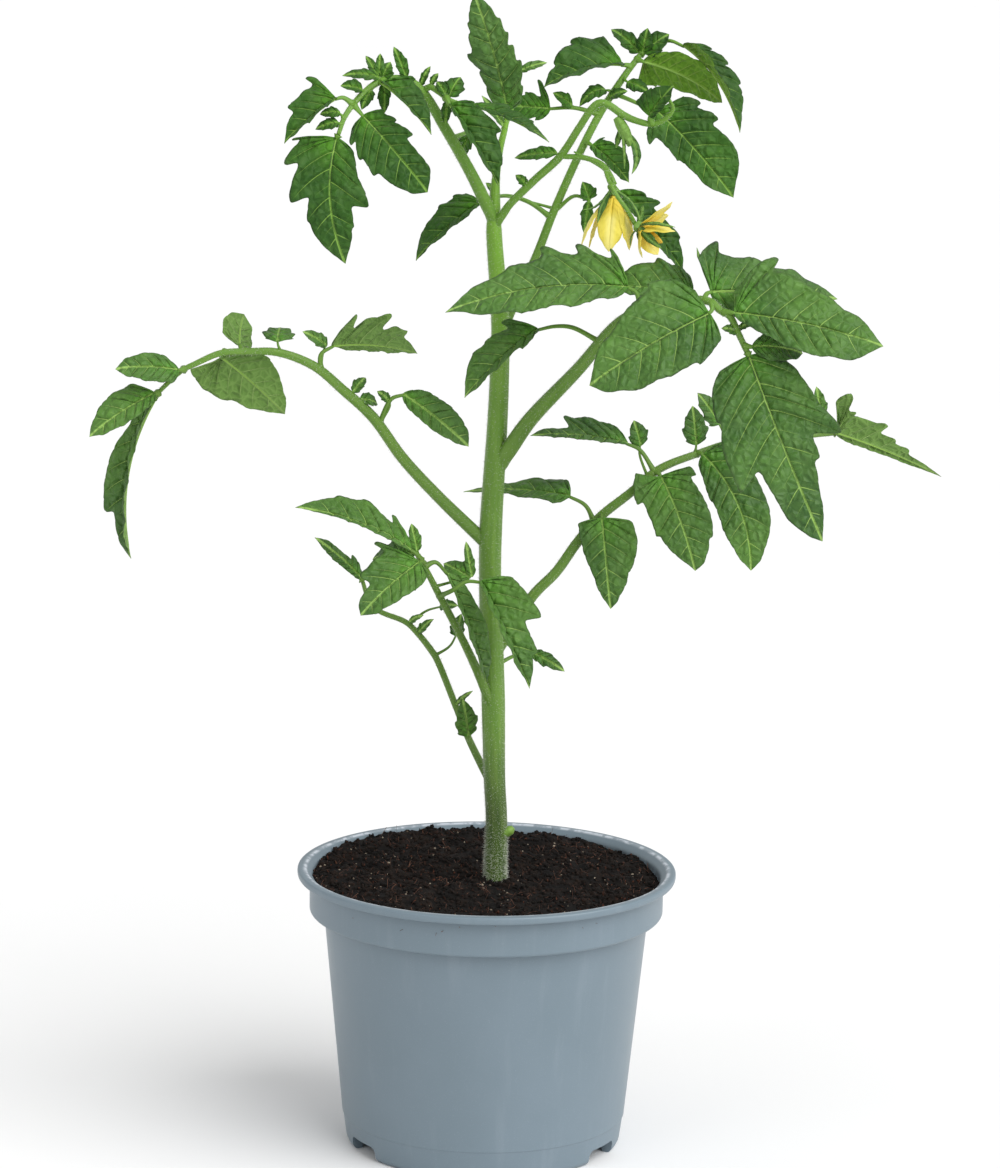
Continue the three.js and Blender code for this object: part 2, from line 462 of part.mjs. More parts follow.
// A point at a share of a stalk's length, on the straight line between two of its rings.
function pointOn(route, at, step) {
  const { curve, steps } = smooth(route);
  const place = at * steps(step);
  const ring = Math.min(Math.floor(place), steps(step) - 1);
  const [low, high] = [ring, ring + 1].map((i) => curve.getPointAt(i / steps(step)));
  return low.lerp(high, place - ring);
}

// A tapered stalk: rings along a smooth curve through points [x, y, z, radius], closed by a fan at each
// end.
function stalkGeometry(route, sides, step, grow = 0, extend = 0) {
  const { curve, steps: stepsOf } = smooth(route);
  const steps = stepsOf(step);
  const frames = curve.computeFrenetFrames(steps, false);
  const radiusAt = routeRadius(route, curve);
  const points = [];
  const faces = [];
  for (let i = 0; i <= steps; i++) {
    const u = i / steps;
    const centre = curve.getPointAt(u);
    if (i === 0) centre.addScaledVector(frames.tangents[0], -extend);
    if (i === steps) centre.addScaledVector(frames.tangents[steps], extend);
    for (let k = 0; k < sides; k++) {
      const turn = (2 * Math.PI * k) / sides;
      const r = radiusAt(u) + grow;
      points.push(
        centre.clone().addScaledVector(frames.normals[i], r * Math.cos(turn))
          .addScaledVector(frames.binormals[i], r * Math.sin(turn)),
      );
    }
  }
  for (let i = 0; i < steps; i++) {
    for (let k = 0; k < sides; k++) {
      const next = (k + 1) % sides;
      quad(faces, i * sides + k, i * sides + next, (i + 1) * sides + next, (i + 1) * sides + k);
    }
  }
  const last = steps * sides;
  for (let k = 1; k < sides - 1; k++) {
    faces.push([0, k + 1, k], [last, last + k, last + k + 1]);
  }
  return meshOf(points, faces);
}

// The radius at a share u of a route's length, read between its points.
function routeRadius(route, curve) {
  const total = curve.getLength();
  const places = [0];
  for (let i = 1; i < route.length; i++) {
    places.push(places[i - 1] + vec(route[i]).distanceTo(vec(route[i - 1])));
  }
  const scale = total / places[places.length - 1];
  return (u) => {
    const length = (u * total) / scale;
    const i = Math.max(1, places.findIndex((p) => p >= length - 1e-6));
    const share = (length - places[i - 1]) / (places[i] - places[i - 1]);
    return THREE.MathUtils.lerp(route[i - 1][3], route[i][3], THREE.MathUtils.clamp(share, 0, 1));
  };
}

// ---- blades: leaflets, petals and sepals ----

// One margin as points [along, width]: convex out to each lobe, then in to the notch behind it.
function margin(lobes, size) {
  const points = [[0, size.stalkHalf]];
  let [s0, w0] = points[0];
  for (const [s, w, notch = 0] of lobes) {
    const rise = w > w0 ? 0.72 : 0.33;
    if (Math.abs(w - w0) > 3) points.push([(s0 + s) / 2, w0 + (w - w0) * rise]);
    points.push([s, w]);
    [s0, w0] = [s, w];
    if (notch) {
      [s0, w0] = [s + size.notchRun, w * (1 - notch)];
      points.push([s0, w0]);
    }
  }
  points.push([(s0 + 1) / 2, w0 * 0.6], [1, size.tipHalf]);
  return points;
}

// Adds points half way along a margin's longest stretches until it has the wanted number.
function refined(points, count) {
  const out = [...points];
  while (out.length < count) {
    let widest = 0;
    for (let i = 1; i < out.length - 1; i++) {
      if (out[i + 1][0] - out[i][0] > out[widest + 1][0] - out[widest][0]) widest = i;
    }
    const [a, b] = [out[widest], out[widest + 1]];
    out.splice(widest + 1, 0, [(a[0] + b[0]) / 2, (a[1] + b[1]) / 2]);
  }
  return out;
}

// A thin closed blade. Its rows run from the midrib to matching places on the two margins.
function bladeGeometry({ base, tip, face, left, right, arch = 0, bend = 0, fold = [0, 0] },
  size = BLADE) {
  const start = vec(base);
  const along = vec(tip).sub(start);
  const length = along.length();
  along.normalize();
  const up = vec(face).addScaledVector(along, -vec(face).dot(along)).normalize();
  const across = along.clone().cross(up);
  const bulge = (s) => 4 * THREE.MathUtils.clamp(s, 0, 1) * (1 - THREE.MathUtils.clamp(s, 0, 1));
  const midrib = (s) =>
    start.clone().addScaledVector(along, s * length).addScaledVector(up, arch * bulge(s))
      .addScaledVector(across, bend * bulge(s));

  const widest = Math.max(...[...left, ...right].map(([, w]) => w));
  const columns = widest > 13 ? 2 : 1;
  const rows = Math.max(margin(left, size).length, margin(right, size).length);
  const sides = [
    { turn: -1, edge: refined(margin(left, size), rows), angle: rad(fold[0]) },
    { turn: 1, edge: refined(margin(right, size), rows), angle: rad(fold[1]) },
  ];
  const anchors = [];
  for (let i = 0; i < rows; i++) {
    const wanted = sides.map(({ edge }) => edge[i][0] - (0.45 * edge[i][1]) / length);
    const even = i / (rows - 1);
    anchors.push(Math.max(i ? anchors[i - 1] + 0.02 : 0, Math.min(even, (wanted[0] + wanted[1]) / 2)));
  }
  const reach = anchors[rows - 1];
  const points = { top: [], bottom: [] };
  for (let i = 0; i < rows; i++) {
    const anchor = anchors[i] / reach;
    for (let k = -columns; k <= columns; k++) {
      const side = sides[k < 0 ? 0 : 1];
      const share = Math.abs(k) / columns;
      const s = THREE.MathUtils.lerp(anchor, side.edge[i][0], share);
      const w = side.edge[i][1] * share;
      const slope = midrib(s + 0.01).sub(midrib(s - 0.01)).normalize();
      const out = across.clone().addScaledVector(slope, -across.dot(slope)).normalize();
      const rise = out.clone().cross(slope);
      const lift = ({ turn, angle }) =>
        rise.clone().multiplyScalar(Math.cos(angle)).addScaledVector(out, -turn * Math.sin(angle));
      const normal = k ? lift(side) : lift(sides[0]).add(lift(sides[1])).normalize();
      const place = midrib(s)
        .addScaledVector(out, side.turn * w * Math.cos(side.angle))
        .addScaledVector(rise, w * Math.sin(side.angle));
      points.top.push(place.clone().addScaledVector(normal, size.thickness / 2));
      points.bottom.push(place.addScaledVector(normal, -size.thickness / 2));
    }
  }
  const across2 = 2 * columns + 1;
  const total = rows * across2;
  const faces = [];
  const top = (i, k) => i * across2 + k;
  const bottom = (i, k) => total + i * across2 + k;
  for (let i = 0; i < rows - 1; i++) {
    for (let k = 0; k < across2 - 1; k++) {
      quad(faces, top(i, k), top(i, k + 1), top(i + 1, k + 1), top(i + 1, k));
      quad(faces, bottom(i, k), bottom(i + 1, k), bottom(i + 1, k + 1), bottom(i, k + 1));
    }
    quad(faces, top(i, 0), top(i + 1, 0), bottom(i + 1, 0), bottom(i, 0));
    const k = across2 - 1;
    quad(faces, top(i, k), bottom(i, k), bottom(i + 1, k), top(i + 1, k));
  }
  for (let k = 0; k < across2 - 1; k++) {
    quad(faces, top(0, k), bottom(0, k), bottom(0, k + 1), top(0, k + 1));
    const i = rows - 1;
    quad(faces, top(i, k), top(i, k + 1), bottom(i, k + 1), bottom(i, k));
  }
  return meshOf([...points.top, ...points.bottom], faces);
}

// A small simple leaflet, widest before its middle, that faces the front and up.
function smallBlade({ base, tip, width, arch = 1, face = [0, -0.8, 0.6] }) {
  const side = [[0.45, width / 2]];
  return solid(bladeGeometry({ base, tip, face, left: side, right: side, arch }, SMALL_BLADE));
}

// A stalklet from a point on a stalk to a blade's base, arriving in the blade's direction.
function petiolule(from, via, base, tip, stopShort) {
  const direction = vec(tip).sub(vec(base)).normalize();
  const end = vec(base).addScaledVector(direction, -stopShort);
  const bow = from.clone().lerp(end, 0.5).lerp(end.clone()
    .addScaledVector(direction, -from.distanceTo(end) / 2), 0.5);
  const mids = via ? via.map(vec) : [bow];
  const all = [from, ...(stopShort < 0 && !via ? [] : mids), end];
  const route = all.map((p, i) => [
    ...p.toArray(), THREE.MathUtils.lerp(PETIOLULE.start, PETIOLULE.end, i / (all.length - 1)),
  ]);
  return solid(stalkGeometry(route, stopShort < 0 ? 4 : 5, 10));
}

// ---- the pot and the soil ----

function potGeometry() {
  const p = POT;
  const outer = [
    [0, 0], [p.padRadius, 0], [p.padRadius + 4, p.floorHeight],
    [p.footRadius - p.footWidth - 0.8, p.floorHeight], [p.footRadius - p.footWidth, 0], [p.footRadius, 0],
    [p.footRadius + 1.4, 1.5], [p.bodyLowRadius, p.bodyLowHeight],
    [p.bodyTopRadius, p.collarBottom], [p.collarRadius - 0.6, p.collarBottom],
    [p.collarRadius, p.collarBottom + 0.8], [p.collarRadius, p.height - p.lipHeight],
    [p.rimRadius, p.height - p.lipHeight + 0.4], [p.rimRadius, p.height - 0.8],
      [p.rimRadius - 0.8, p.height],
  ];
  const collarInner = p.collarRadius - p.wall;
  const inner = [
    [p.rimInner, p.height], [collarInner, p.height - 2.6], [collarInner, p.collarBottom + 1.2],
    [p.bodyTopRadius - p.wall, p.collarBottom + 1.2], [p.bodyLowRadius - p.wall, p.bodyLowHeight],
    [p.footRadius, p.floorHeight + p.floorThickness],
      [p.padRadius + 4.6, p.floorHeight + p.floorThickness],
    [p.padRadius + 0.4, 1.6], [0, 1.6],
  ];
  const profile = [...outer, ...inner].map(([r, z]) => new THREE.Vector2(r, z));
  let made = solid(new THREE.LatheGeometry(profile, p.segments).rotateX(Math.PI / 2));
  if (made.volume() < 0) throw new Error("the pot's profile runs the wrong way");
  for (const turn of NOTCH.turns) made = made.subtract(notchTool(turn));
  for (let i = 0; i < DRAIN.count; i++) made = made.subtract(drainTool((i * 360) / DRAIN.count));
  return geometryOf(made);
}

// The space between two feet, with round upper corners, at a turn in degrees from the front.
function notchTool(turn) {
  const { width, height, corner } = NOTCH;
  const shape = new THREE.Shape();
  shape.moveTo(-width / 2, -2);
  shape.lineTo(width / 2, -2);
  shape.lineTo(width / 2, height - corner);
  shape.absarc(width / 2 - corner, height - corner, corner, 0, Math.PI / 2);
  shape.lineTo(corner - width / 2, height);
  shape.absarc(corner - width / 2, height - corner, corner, Math.PI / 2, Math.PI);
  const tool = new THREE.ExtrudeGeometry(shape, { depth: 14, bevelEnabled: false, curveSegments: 4 });
  tool.rotateX(Math.PI / 2).translate(0, -POT.footRadius + 7, 0).rotateZ(rad(turn));
  return solid(tool);
}

function drainTool(turn) {
  const tool = new THREE.CylinderGeometry(DRAIN.radius, DRAIN.radius, 6, 12);
  tool.rotateX(Math.PI / 2).translate(0, -DRAIN.ring, POT.floorHeight + 1).rotateZ(rad(turn));
  return solid(tool);
}

// The soil's surface height: it falls a little to the right, is lumpy, and rises round the stem.
function soilHeight(x, y) {
  const [stemX, stemY] = MAIN_STEM[1];
  const away = Math.hypot(x - stemX, y - stemY);
  const lumps = Math.sin(x * 0.21 + 1) * Math.cos(y * 0.17) + Math.sin(x * 0.09 - y * 0.13);
  const crown = SOIL.crown * Math.exp(-away / 12);
  return SOIL.level - (SOIL.fall * x) / POT.collarRadius + SOIL.lump * lumps + crown;
}

function soilGeometry(stemTool) {
  const p = POT;
  const top = p.collarRadius - p.wall - GAP;
  const body = p.bodyTopRadius - p.wall - GAP;
  const low = p.bodyLowRadius - p.wall - GAP;
  const floor = p.floorHeight + p.floorThickness + GAP;
  const profile = [
    [0, 1.6 + GAP], [p.padRadius - 0.1, 1.6 + GAP], [p.padRadius + 4.2, floor],
      [p.footRadius - 0.5, floor],
    [low, p.bodyLowHeight], [body, p.collarBottom + 1.2 + GAP], [top, p.collarBottom + 1.2 + GAP],
    [top, SOIL.level], [top * 0.86, SOIL.level], [top * 0.68, SOIL.level],
    [top * 0.5, SOIL.level], [top * 0.3, SOIL.level], [0, SOIL.level],
  ].map(([r, z]) => new THREE.Vector2(r, z));
  const geometry = new THREE.LatheGeometry(profile, p.segments).rotateX(Math.PI / 2);
  const place = geometry.attributes.position;
  for (let i = 0; i < place.count; i++) {
    if (place.getZ(i) > SOIL.level - 0.01) place.setZ(i, soilHeight(place.getX(i), place.getY(i)));
  }
  return geometryOf(solid(geometry).subtract(stemTool));
}

// ---- stem, leaves and flowers ----

function ellipsoid(centre, radii, detail = 10) {
  const ball = new THREE.SphereGeometry(1, detail, Math.round(detail * 0.7));
  ball.scale(...radii).translate(...centre);
  return solid(ball);
}

function mainStem() {
  const pieces = [solid(stalkGeometry(MAIN_STEM, 10, 14)), ellipsoid(BUD_KNOB.centre, BUD_KNOB.radii, 8)];
  for (const leaf of STEM_SMALL) {
    pieces.push(smallBlade(leaf));
    if (leaf.from) pieces.push(petiolule(vec(leaf.from), leaf.via, leaf.base, leaf.tip, -0.8));
  }
  return joined(pieces);
}

// A leaf's stalk with its side stalks, the leaflets' stalklets and the smallest leaflets, cut clear of
// the stem.
function leafStalk(leaf, stemTool) {
  const routes = [leaf.route, ...leaf.branches];
  const pieces = routes.map((r) => solid(stalkGeometry(r, STALK.sides, STALK.step)));
  const pointAt = ({ at, branch }) => pointOn(routes[branch === undefined ? 0 : branch + 1], at,
    STALK.step);
  for (const one of leaf.leaflets) {
    if (one.at < 1 || one.via || leaf.leaflets.filter((l) => l.at === 1).length > 1) {
      pieces.push(petiolule(pointAt(one), one.via, one.base, one.tip, 0.7));
    }
  }
  for (const one of leaf.small) {
    pieces.push(petiolule(pointAt(one), one.via, one.base, one.tip, -0.8), smallBlade(one));
  }
  return joined(pieces).subtract(stemTool);
}

// Two axes across a flower's axis.
function acrossAxes(axis) {
  const first = new THREE.Vector3(0, 1, 0).cross(axis).normalize();
  return [first, axis.clone().cross(first)];
}

// Five blades in a ring round a flower's axis, each leaning out by an angle in degrees.
function ring({ centre, axis }, length, width, open, turn, hub, size) {
  const forward = vec(axis).normalize();
  const [first, second] = acrossAxes(forward);
  const blades = [];
  for (let i = 0; i < 5; i++) {
    const angle = rad(turn + i * 72);
    const outward = first.clone().multiplyScalar(Math.cos(angle))
      .addScaledVector(second, Math.sin(angle));
    const lean = forward.clone().multiplyScalar(Math.cos(rad(open)))
      .addScaledVector(outward, Math.sin(rad(open)));
    const base = vec(centre).addScaledVector(forward, hub.ahead).addScaledVector(outward, hub.radius);
    const inward = forward.clone().multiplyScalar(Math.sin(rad(open)))
      .addScaledVector(outward, -Math.cos(rad(open)));
    const side = [[0.45, width / 2]];
    blades.push(solid(bladeGeometry({
      base: base.toArray(), tip: base.clone().addScaledVector(lean, length).toArray(),
        face: inward.toArray(),
      left: side, right: side, arch: -0.08 * length,
    }, size)));
  }
  return blades;
}

function disc(centre, axis, radius, from, to) {
  const forward = vec(axis).normalize();
  const geometry = new THREE.CylinderGeometry(radius, radius, to - from, 14);
  geometry.applyQuaternion(new THREE.Quaternion().setFromUnitVectors(new THREE.Vector3(0, 1, 0),
    forward));
  geometry.translate(...vec(centre).addScaledVector(forward, (from + to) / 2).toArray());
  return solid(geometry);
}

// The cone of anthers in the middle of a flower.
function antherCone({ centre, axis }) {
  const forward = vec(axis).normalize();
  const profile = [[0, 3.2], [1.3, 3.2], [1.5, 5.5], [1.1, 9], [0.5, 11.6], [0, 11.8]]
    .map(([r, z]) => new THREE.Vector2(r, z));
  const geometry = new THREE.LatheGeometry(profile, 10);
  geometry.applyQuaternion(new THREE.Quaternion().setFromUnitVectors(new THREE.Vector3(0, 1, 0),
    forward));
  geometry.translate(...centre);
  return solid(geometry);
}

function flowerPieces(flower) {
  const { centre, axis, petal, width, open, turn, sepal, sepalOpen } = flower;
  const calyx = joined([
    disc(centre, axis, 2.1, -0.4, 1),
    ...ring(flower, sepal, 2.6, sepalOpen, turn + 36, { ahead: 0.5, radius: 1.3 }, SMALL_BLADE),
  ]);
  const corolla = joined([
    disc(centre, axis, 2, 1.4, 2.8),
    ...ring(flower, petal, width, open, turn, { ahead: 2.3, radius: 1.4 }, { ...SMALL_BLADE,
      stalkHalf: 1.2 }),
  ]);
  return { calyx, corolla: corolla.subtract(calyx), anther_cone: antherCone(flower) };
}

// ---- assembly ----

const plant = new THREE.Group();

function finish(colour, roughness) {
  return new THREE.MeshStandardMaterial({ color: colour, roughness, metalness: 0 });
}

function place(name, geometry, colour, roughness) {
  const mesh = new THREE.Mesh(geometry, finish(colour, roughness));
  mesh.name = name;
  plant.add(mesh);
}

const stemSolid = mainStem();
const stemTool = solid(stalkGeometry(MAIN_STEM, 10, 14, GAP, GAP));

place("pot", potGeometry(), COLOUR.pot, 0.45);
place("potting_soil", soilGeometry(stemTool), COLOUR.soil, 0.95);
place("main_stem", geometryOf(stemSolid), COLOUR.stem, 0.5);
place("top_leaflet", bladeGeometry(TOP_LEAFLET), COLOUR.leaf, 0.6);
for (const leaf of LEAVES) {
  place(`${leaf.name}_stalk`, geometryOf(leafStalk(leaf, stemTool)), COLOUR.stalk, 0.5);
  leaf.leaflets.forEach((leaflet, i) => {
    place(`${leaf.name}_leaflet_${i + 1}`, bladeGeometry(leaflet), COLOUR.leaf, 0.6);
  });
}
for (const flower of FLOWERS) {
  const pieces = flowerPieces(flower);
  place(`${flower.name}_calyx`, geometryOf(pieces.calyx), COLOUR.sepal, 0.6);
  place(`${flower.name}_corolla`, geometryOf(pieces.corolla), COLOUR.petal, 0.5);
  place(`${flower.name}_anther_cone`, geometryOf(pieces.anther_cone), COLOUR.anther, 0.5);
}
place("flower_bud", geometryOf(joined([ellipsoid(BUD.centre, BUD.radii, 10),
  ...BUD.sepals.map(smallBlade)])), COLOUR.sepal, 0.6);

export default plant;
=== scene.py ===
"""A young tomato plant in a round nursery pot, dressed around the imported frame.

Every plan below is in millimetres, in the frame's own axes: the origin is the centre of the pot's standing face,
+Z is up and the plant's front is towards -Y. Meshes are built in metres.
"""

import logging  # noqa: E402
import math  # noqa: E402
from dataclasses import dataclass, field  # noqa: E402
from enum import Enum  # noqa: E402
from typing import Any, Callable, Sequence  # noqa: E402

import bmesh  # noqa: E402
import bpy  # noqa: E402
import numpy as np  # noqa: E402
from mathutils import Matrix, Vector, noise  # noqa: E402


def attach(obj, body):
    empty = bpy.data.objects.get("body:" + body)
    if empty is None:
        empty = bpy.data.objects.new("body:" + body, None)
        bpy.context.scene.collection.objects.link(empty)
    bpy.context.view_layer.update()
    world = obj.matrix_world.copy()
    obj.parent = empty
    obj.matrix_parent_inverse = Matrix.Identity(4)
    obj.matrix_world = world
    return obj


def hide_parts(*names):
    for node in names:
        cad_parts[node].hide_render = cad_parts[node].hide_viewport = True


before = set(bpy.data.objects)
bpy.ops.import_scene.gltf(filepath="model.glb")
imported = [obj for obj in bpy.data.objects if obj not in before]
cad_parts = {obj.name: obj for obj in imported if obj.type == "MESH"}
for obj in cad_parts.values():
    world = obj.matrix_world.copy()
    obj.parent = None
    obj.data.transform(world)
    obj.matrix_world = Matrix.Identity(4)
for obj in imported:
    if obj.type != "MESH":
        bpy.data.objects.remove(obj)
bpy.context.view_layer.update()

logging.basicConfig(level=logging.INFO, format="%(levelname)s %(message)s")
LOG = logging.getLogger("tomato")

MM = 0.001
WELD = 1e-7
Point = Sequence[float]
Array = np.ndarray


# ---- shader maths and node building ----


class Value:
    """A shader socket that adds Math nodes when it is used in an expression."""

    def __init__(self, tree: bpy.types.NodeTree, socket: Any) -> None:
        """Wraps a socket of a tree."""
        self.tree = tree
        self.socket = socket

    def math(self, operation: str, *others: Any) -> "Value":
        """Adds one Math node.

        Args:
            operation: the Math node's operation.
            others: the second and third operands, as numbers or values.

        Returns:
            The node's result.
        """
        made = self.tree.nodes.new("ShaderNodeMath")
        made.operation = operation
        for place, operand in enumerate((self, *others)):
            if isinstance(operand, Value):
                self.tree.links.new(operand.socket, made.inputs[place])
            else:
                made.inputs[place].default_value = operand
        return Value(self.tree, made.outputs[0])

    def __add__(self, other: Any) -> "Value":
        """Returns the sum."""
        return self.math("ADD", other)

    __radd__ = __add__

    def __mul__(self, other: Any) -> "Value":
        """Returns the product."""
        return self.math("MULTIPLY", other)

    __rmul__ = __mul__

    def __sub__(self, other: Any) -> "Value":
        """Returns the difference."""
        return self.math("SUBTRACT", other)

    def __rsub__(self, other: Any) -> "Value":
        """Returns a number less this value."""
        return (self * -1.0) + other

    def __truediv__(self, other: Any) -> "Value":
        """Returns the quotient."""
        return self.math("DIVIDE", other)

    def step(self, low: float, high: float) -> "Value":
        """Returns a smooth step from 0 at low to 1 at high, or falling where low is above high."""
        falls = low > high
        made = Plot(self.tree, "ShaderNode").node(
            "MapRange", {"interpolation_type": "SMOOTHSTEP"}, Value=self, From_Min=min(low, high),
            From_Max=max(low, high), To_Min=float(falls), To_Max=float(not falls))
        return Value(self.tree, made.outputs["Result"])


Colour = tuple[float, float, float]


def srgb(red: int, green: int, blue: int) -> Colour:
    """Returns the linear colour of an 8-bit display colour."""
    shares = (channel / 255 for channel in (red, green, blue))
    return tuple(c / 12.92 if c <= 0.04045 else ((c + 0.055) / 1.055) ** 2.4 for c in shares)


class Plot:
    """A node tree and the one way in which nodes are added to it."""

    def __init__(self, tree: bpy.types.NodeTree, prefix: str = "") -> None:
        """Takes the tree, and the words that its node types begin with."""
        self.tree = tree
        self.prefix = prefix

    def node(self, kind: str, settings: dict[str, Any] | None = None, **inputs: Any) -> Any:
        """Adds a node.

        Args:
            kind: the node's type, without the tree's prefix.
            settings: the node's own settings, set before its sockets.
            inputs: values or links for its sockets, named with _ for spaces, or by i and the socket's number.

        Returns:
            The node.
        """
        made = self.tree.nodes.new(self.prefix + kind)
        for key, value in (settings or {}).items():
            if key == "stops":
                self._stops(made.color_ramp, value)
            else:
                setattr(made, key, value)
        for key, value in inputs.items():
            socket = made.inputs[int(key[1:])] if key[1:].isdigit() else made.inputs[key.replace("_", " ")]
            self.feed(socket, value)
        return made

    def feed(self, socket: Any, value: Any) -> None:
        """Links a value, or sets it as the socket's constant."""
        if isinstance(value, Value):
            self.tree.links.new(value.socket, socket)
        elif isinstance(value, bpy.types.NodeSocket):
            self.tree.links.new(value, socket)
        elif isinstance(value, tuple) and len(value) == 3 and socket.type == "RGBA":
            socket.default_value = (*value, 1.0)
        else:
            socket.default_value = value

    @staticmethod
    def _stops(ramp: bpy.types.ColorRamp, stops: Sequence[tuple[float, Colour]]) -> None:
        """Sets a ramp's stops."""
        while len(ramp.elements) < len(stops):
            ramp.elements.new(0.5)
        for element, (place, colour) in zip(ramp.elements, stops):
            element.position = place
            element.color = (*colour, 1.0)


NOISE_ROUGHNESS = 0.55


class Recipe(Plot):
    """One material's node tree, with helpers for what the finishes share."""

    def __init__(self, name: str) -> None:
        """Makes an empty material with that name."""
        self.material = bpy.data.materials.new(name)
        self.material.use_nodes = True
        super().__init__(self.material.node_tree, "ShaderNode")
        self.tree.nodes.clear()

    def value(self, socket: Any) -> Value:
        """Returns a socket as a value for expressions."""
        return Value(self.tree, socket)

    def object_coordinates(self) -> Any:
        """Returns the socket of the piece's own coordinates, in metres."""
        return self.node("TexCoord").outputs["Object"]

    def axes(self) -> tuple[Value, Value, Value]:
        """Returns the X, Y and Z of the object coordinates."""
        parts = self.node("SeparateXYZ", Vector=self.object_coordinates()).outputs
        return tuple(self.value(parts[k]) for k in range(3))

    def map_pair(self, name: str) -> tuple[Value, Value]:
        """Returns the two numbers that a UV map holds."""
        parts = self.node("SeparateXYZ", Vector=self.node("UVMap", {"uv_map": name}).outputs[0]).outputs
        return self.value(parts[0]), self.value(parts[1])

    def cloud(self, scale: float, detail: float = 3.0, vector: Any = None) -> Value:
        """Returns noise between 0 and 1, scale being its waves per unit of the vector."""
        made = self.node("TexNoise", Vector=vector or self.object_coordinates(), Scale=scale, Detail=detail,
                         Roughness=NOISE_ROUGHNESS)
        return self.value(made.outputs["Fac"])

    def mix(self, share: Value | float, low: Any, high: Any) -> Any:
        """Returns the colour socket of a mix of two colours."""
        return self.node("Mix", {"data_type": "RGBA"}, i0=share, i6=low, i7=high).outputs[2]

    def bump(self, height: Value, depth: float, strength: float = 1.0, under: Any = None) -> Any:
        """Returns the normal socket of a bump, depth being its height in metres."""
        made = self.node("Bump", Height=height, Distance=depth, Strength=strength)
        if under is not None:
            self.feed(made.inputs["Normal"], under)
        return made.outputs["Normal"]

    def finish(self, **inputs: Any) -> bpy.types.Material:
        """Closes the material with a Principled shader whose sockets are given, and returns it."""
        shader = self.node("BsdfPrincipled", None, **inputs)
        self.node("OutputMaterial", Surface=shader.outputs[0])
        return self.material


# ---- finishes ----


VALLEY_SHADE_GREEN = (0.014, 0.042, 0.003)
CREASE_SHADE_GREEN = (0.014, 0.045, 0.004)
SHADE_GREEN = (0.01, 0.03, 0.002)
SHEEN_HAZE_GREEN = (0.2, 0.3, 0.12)
MARGIN_BROWN = (0.03, 0.035, 0.022)


@dataclass(frozen=True)
class LeafFinish:
    """A leaf blade: green between pale veins, brighter at its base, with a lighter underside, painted shade in the
    dips beside the veins and between its small pillows, and a painted sheen haze in patches.
    """

    name: str
    deep: Colour
    fresh: Colour
    base: Colour
    vein: Colour
    under: Colour
    under_vein: Colour
    gloss: float = 0.5
    shine: float = 0.36

    def material(self) -> bpy.types.Material:
        """Builds the material from the blade's maps: place, veins and zone."""
        r = Recipe(self.name)
        across, along = r.map_pair("place")
        phase, spacing = r.map_pair("veins")
        share, below = r.map_pair("zone")
        # distances in millimetres from the nearest side vein and from the nearest finer vein
        lateral = ((phase + 0.5).math("FRACT") - 0.5).math("ABSOLUTE") * spacing
        second = ((phase * 2.0 + 0.5).math("FRACT") - 0.5).math("ABSOLUTE") * spacing * 0.5
        # vein lines, thinner towards the margin
        width = (spacing * 0.045).math("MINIMUM", 0.22) * (1.25 - share * 0.75)
        main = (lateral / width).step(1.6, 0.3) * share.step(1.0, 0.5)
        small = (second / width).step(0.9, 0.2) * share.step(0.75, 0.3) * spacing.step(4.0, 8.0) * 0.45
        rib = across.math("ABSOLUTE").step(0.75, 0.3)
        veins = main.math("MAXIMUM", small).math("MAXIMUM", rib)
        # dips beside the veins, and the net of small pillows between them
        valley = (lateral / (spacing * 0.3)).step(1.0, 0.0) * share.step(1.0, 0.7)
        sheet = r.node("CombineXYZ", X=across * 0.1, Y=along * 0.1).outputs[0]
        net = r.node("TexVoronoi", {"feature": "DISTANCE_TO_EDGE"}, Vector=sheet, Scale=3.0, Randomness=1.0)
        cell = r.value(net.outputs["Distance"])
        patch = r.cloud(22.0, 2.0).step(0.32, 0.68)
        grain = r.cloud(420.0, 3.0).step(0.3, 0.75)
        # upper face
        face = r.mix(patch, self.deep, self.fresh)
        young = along.step(15.0, 1.0) * share.step(0.9, 0.1)
        face = r.mix(young * 0.62, face, self.base)
        face = r.mix(share.step(0.1, 0.55) * 0.1, face, r.mix(0.5, self.deep, SHADE_GREEN))
        # painted shade: the dips beside the side veins are darkened
        face = r.mix(valley * valley * 0.2, face, VALLEY_SHADE_GREEN)
        face = r.mix(grain * 0.2, face, r.mix(0.35, self.fresh, self.vein))
        # painted shade: the creases between the small pillows are darkened
        face = r.mix(cell.step(0.24, 0.0) * 0.24, face, CREASE_SHADE_GREEN)
        # painted sheen: patches of pale grey-green haze, standing in for light caught by the leaf hairs
        face = r.mix(r.cloud(90.0, 2.0).step(0.5, 0.72) * 0.2, face, r.mix(0.5, self.fresh, SHEEN_HAZE_GREEN))
        face = r.mix(share.step(0.93, 1.0) * 0.3, face, MARGIN_BROWN)
        face = r.mix(veins * 0.78, face, self.vein)
        # underside
        back = r.mix(grain * 0.3, self.under, r.mix(0.5, self.under, self.deep))
        back = r.mix(cell.step(0.12, 0.0) * 0.22, back, self.under_vein)
        back = r.mix(veins * 0.65, back, self.under_vein)
        # relief, turned over on the underside
        relief = cell.step(0.0, 0.42) * 0.9 - veins * 0.4 - valley * 0.25
        lift = r.bump(relief * (1.0 - below * 1.9), 0.0008)
        lift = r.bump(r.cloud(900.0, 2.0), 0.00008, 0.5, lift)
        return r.finish(Base_Color=r.mix(below, face, back), Roughness=patch * 0.08 + self.gloss + below * 0.15,
                        Normal=lift, Specular_IOR_Level=self.shine, Sheen_Weight=0.05, Sheen_Roughness=0.5)


STREAK_LIME = (0.36, 0.52, 0.1)
BLOTCH_GREEN = (0.03, 0.08, 0.006)
LOW_STEM, HIGH_STEM = 0.1, 0.46


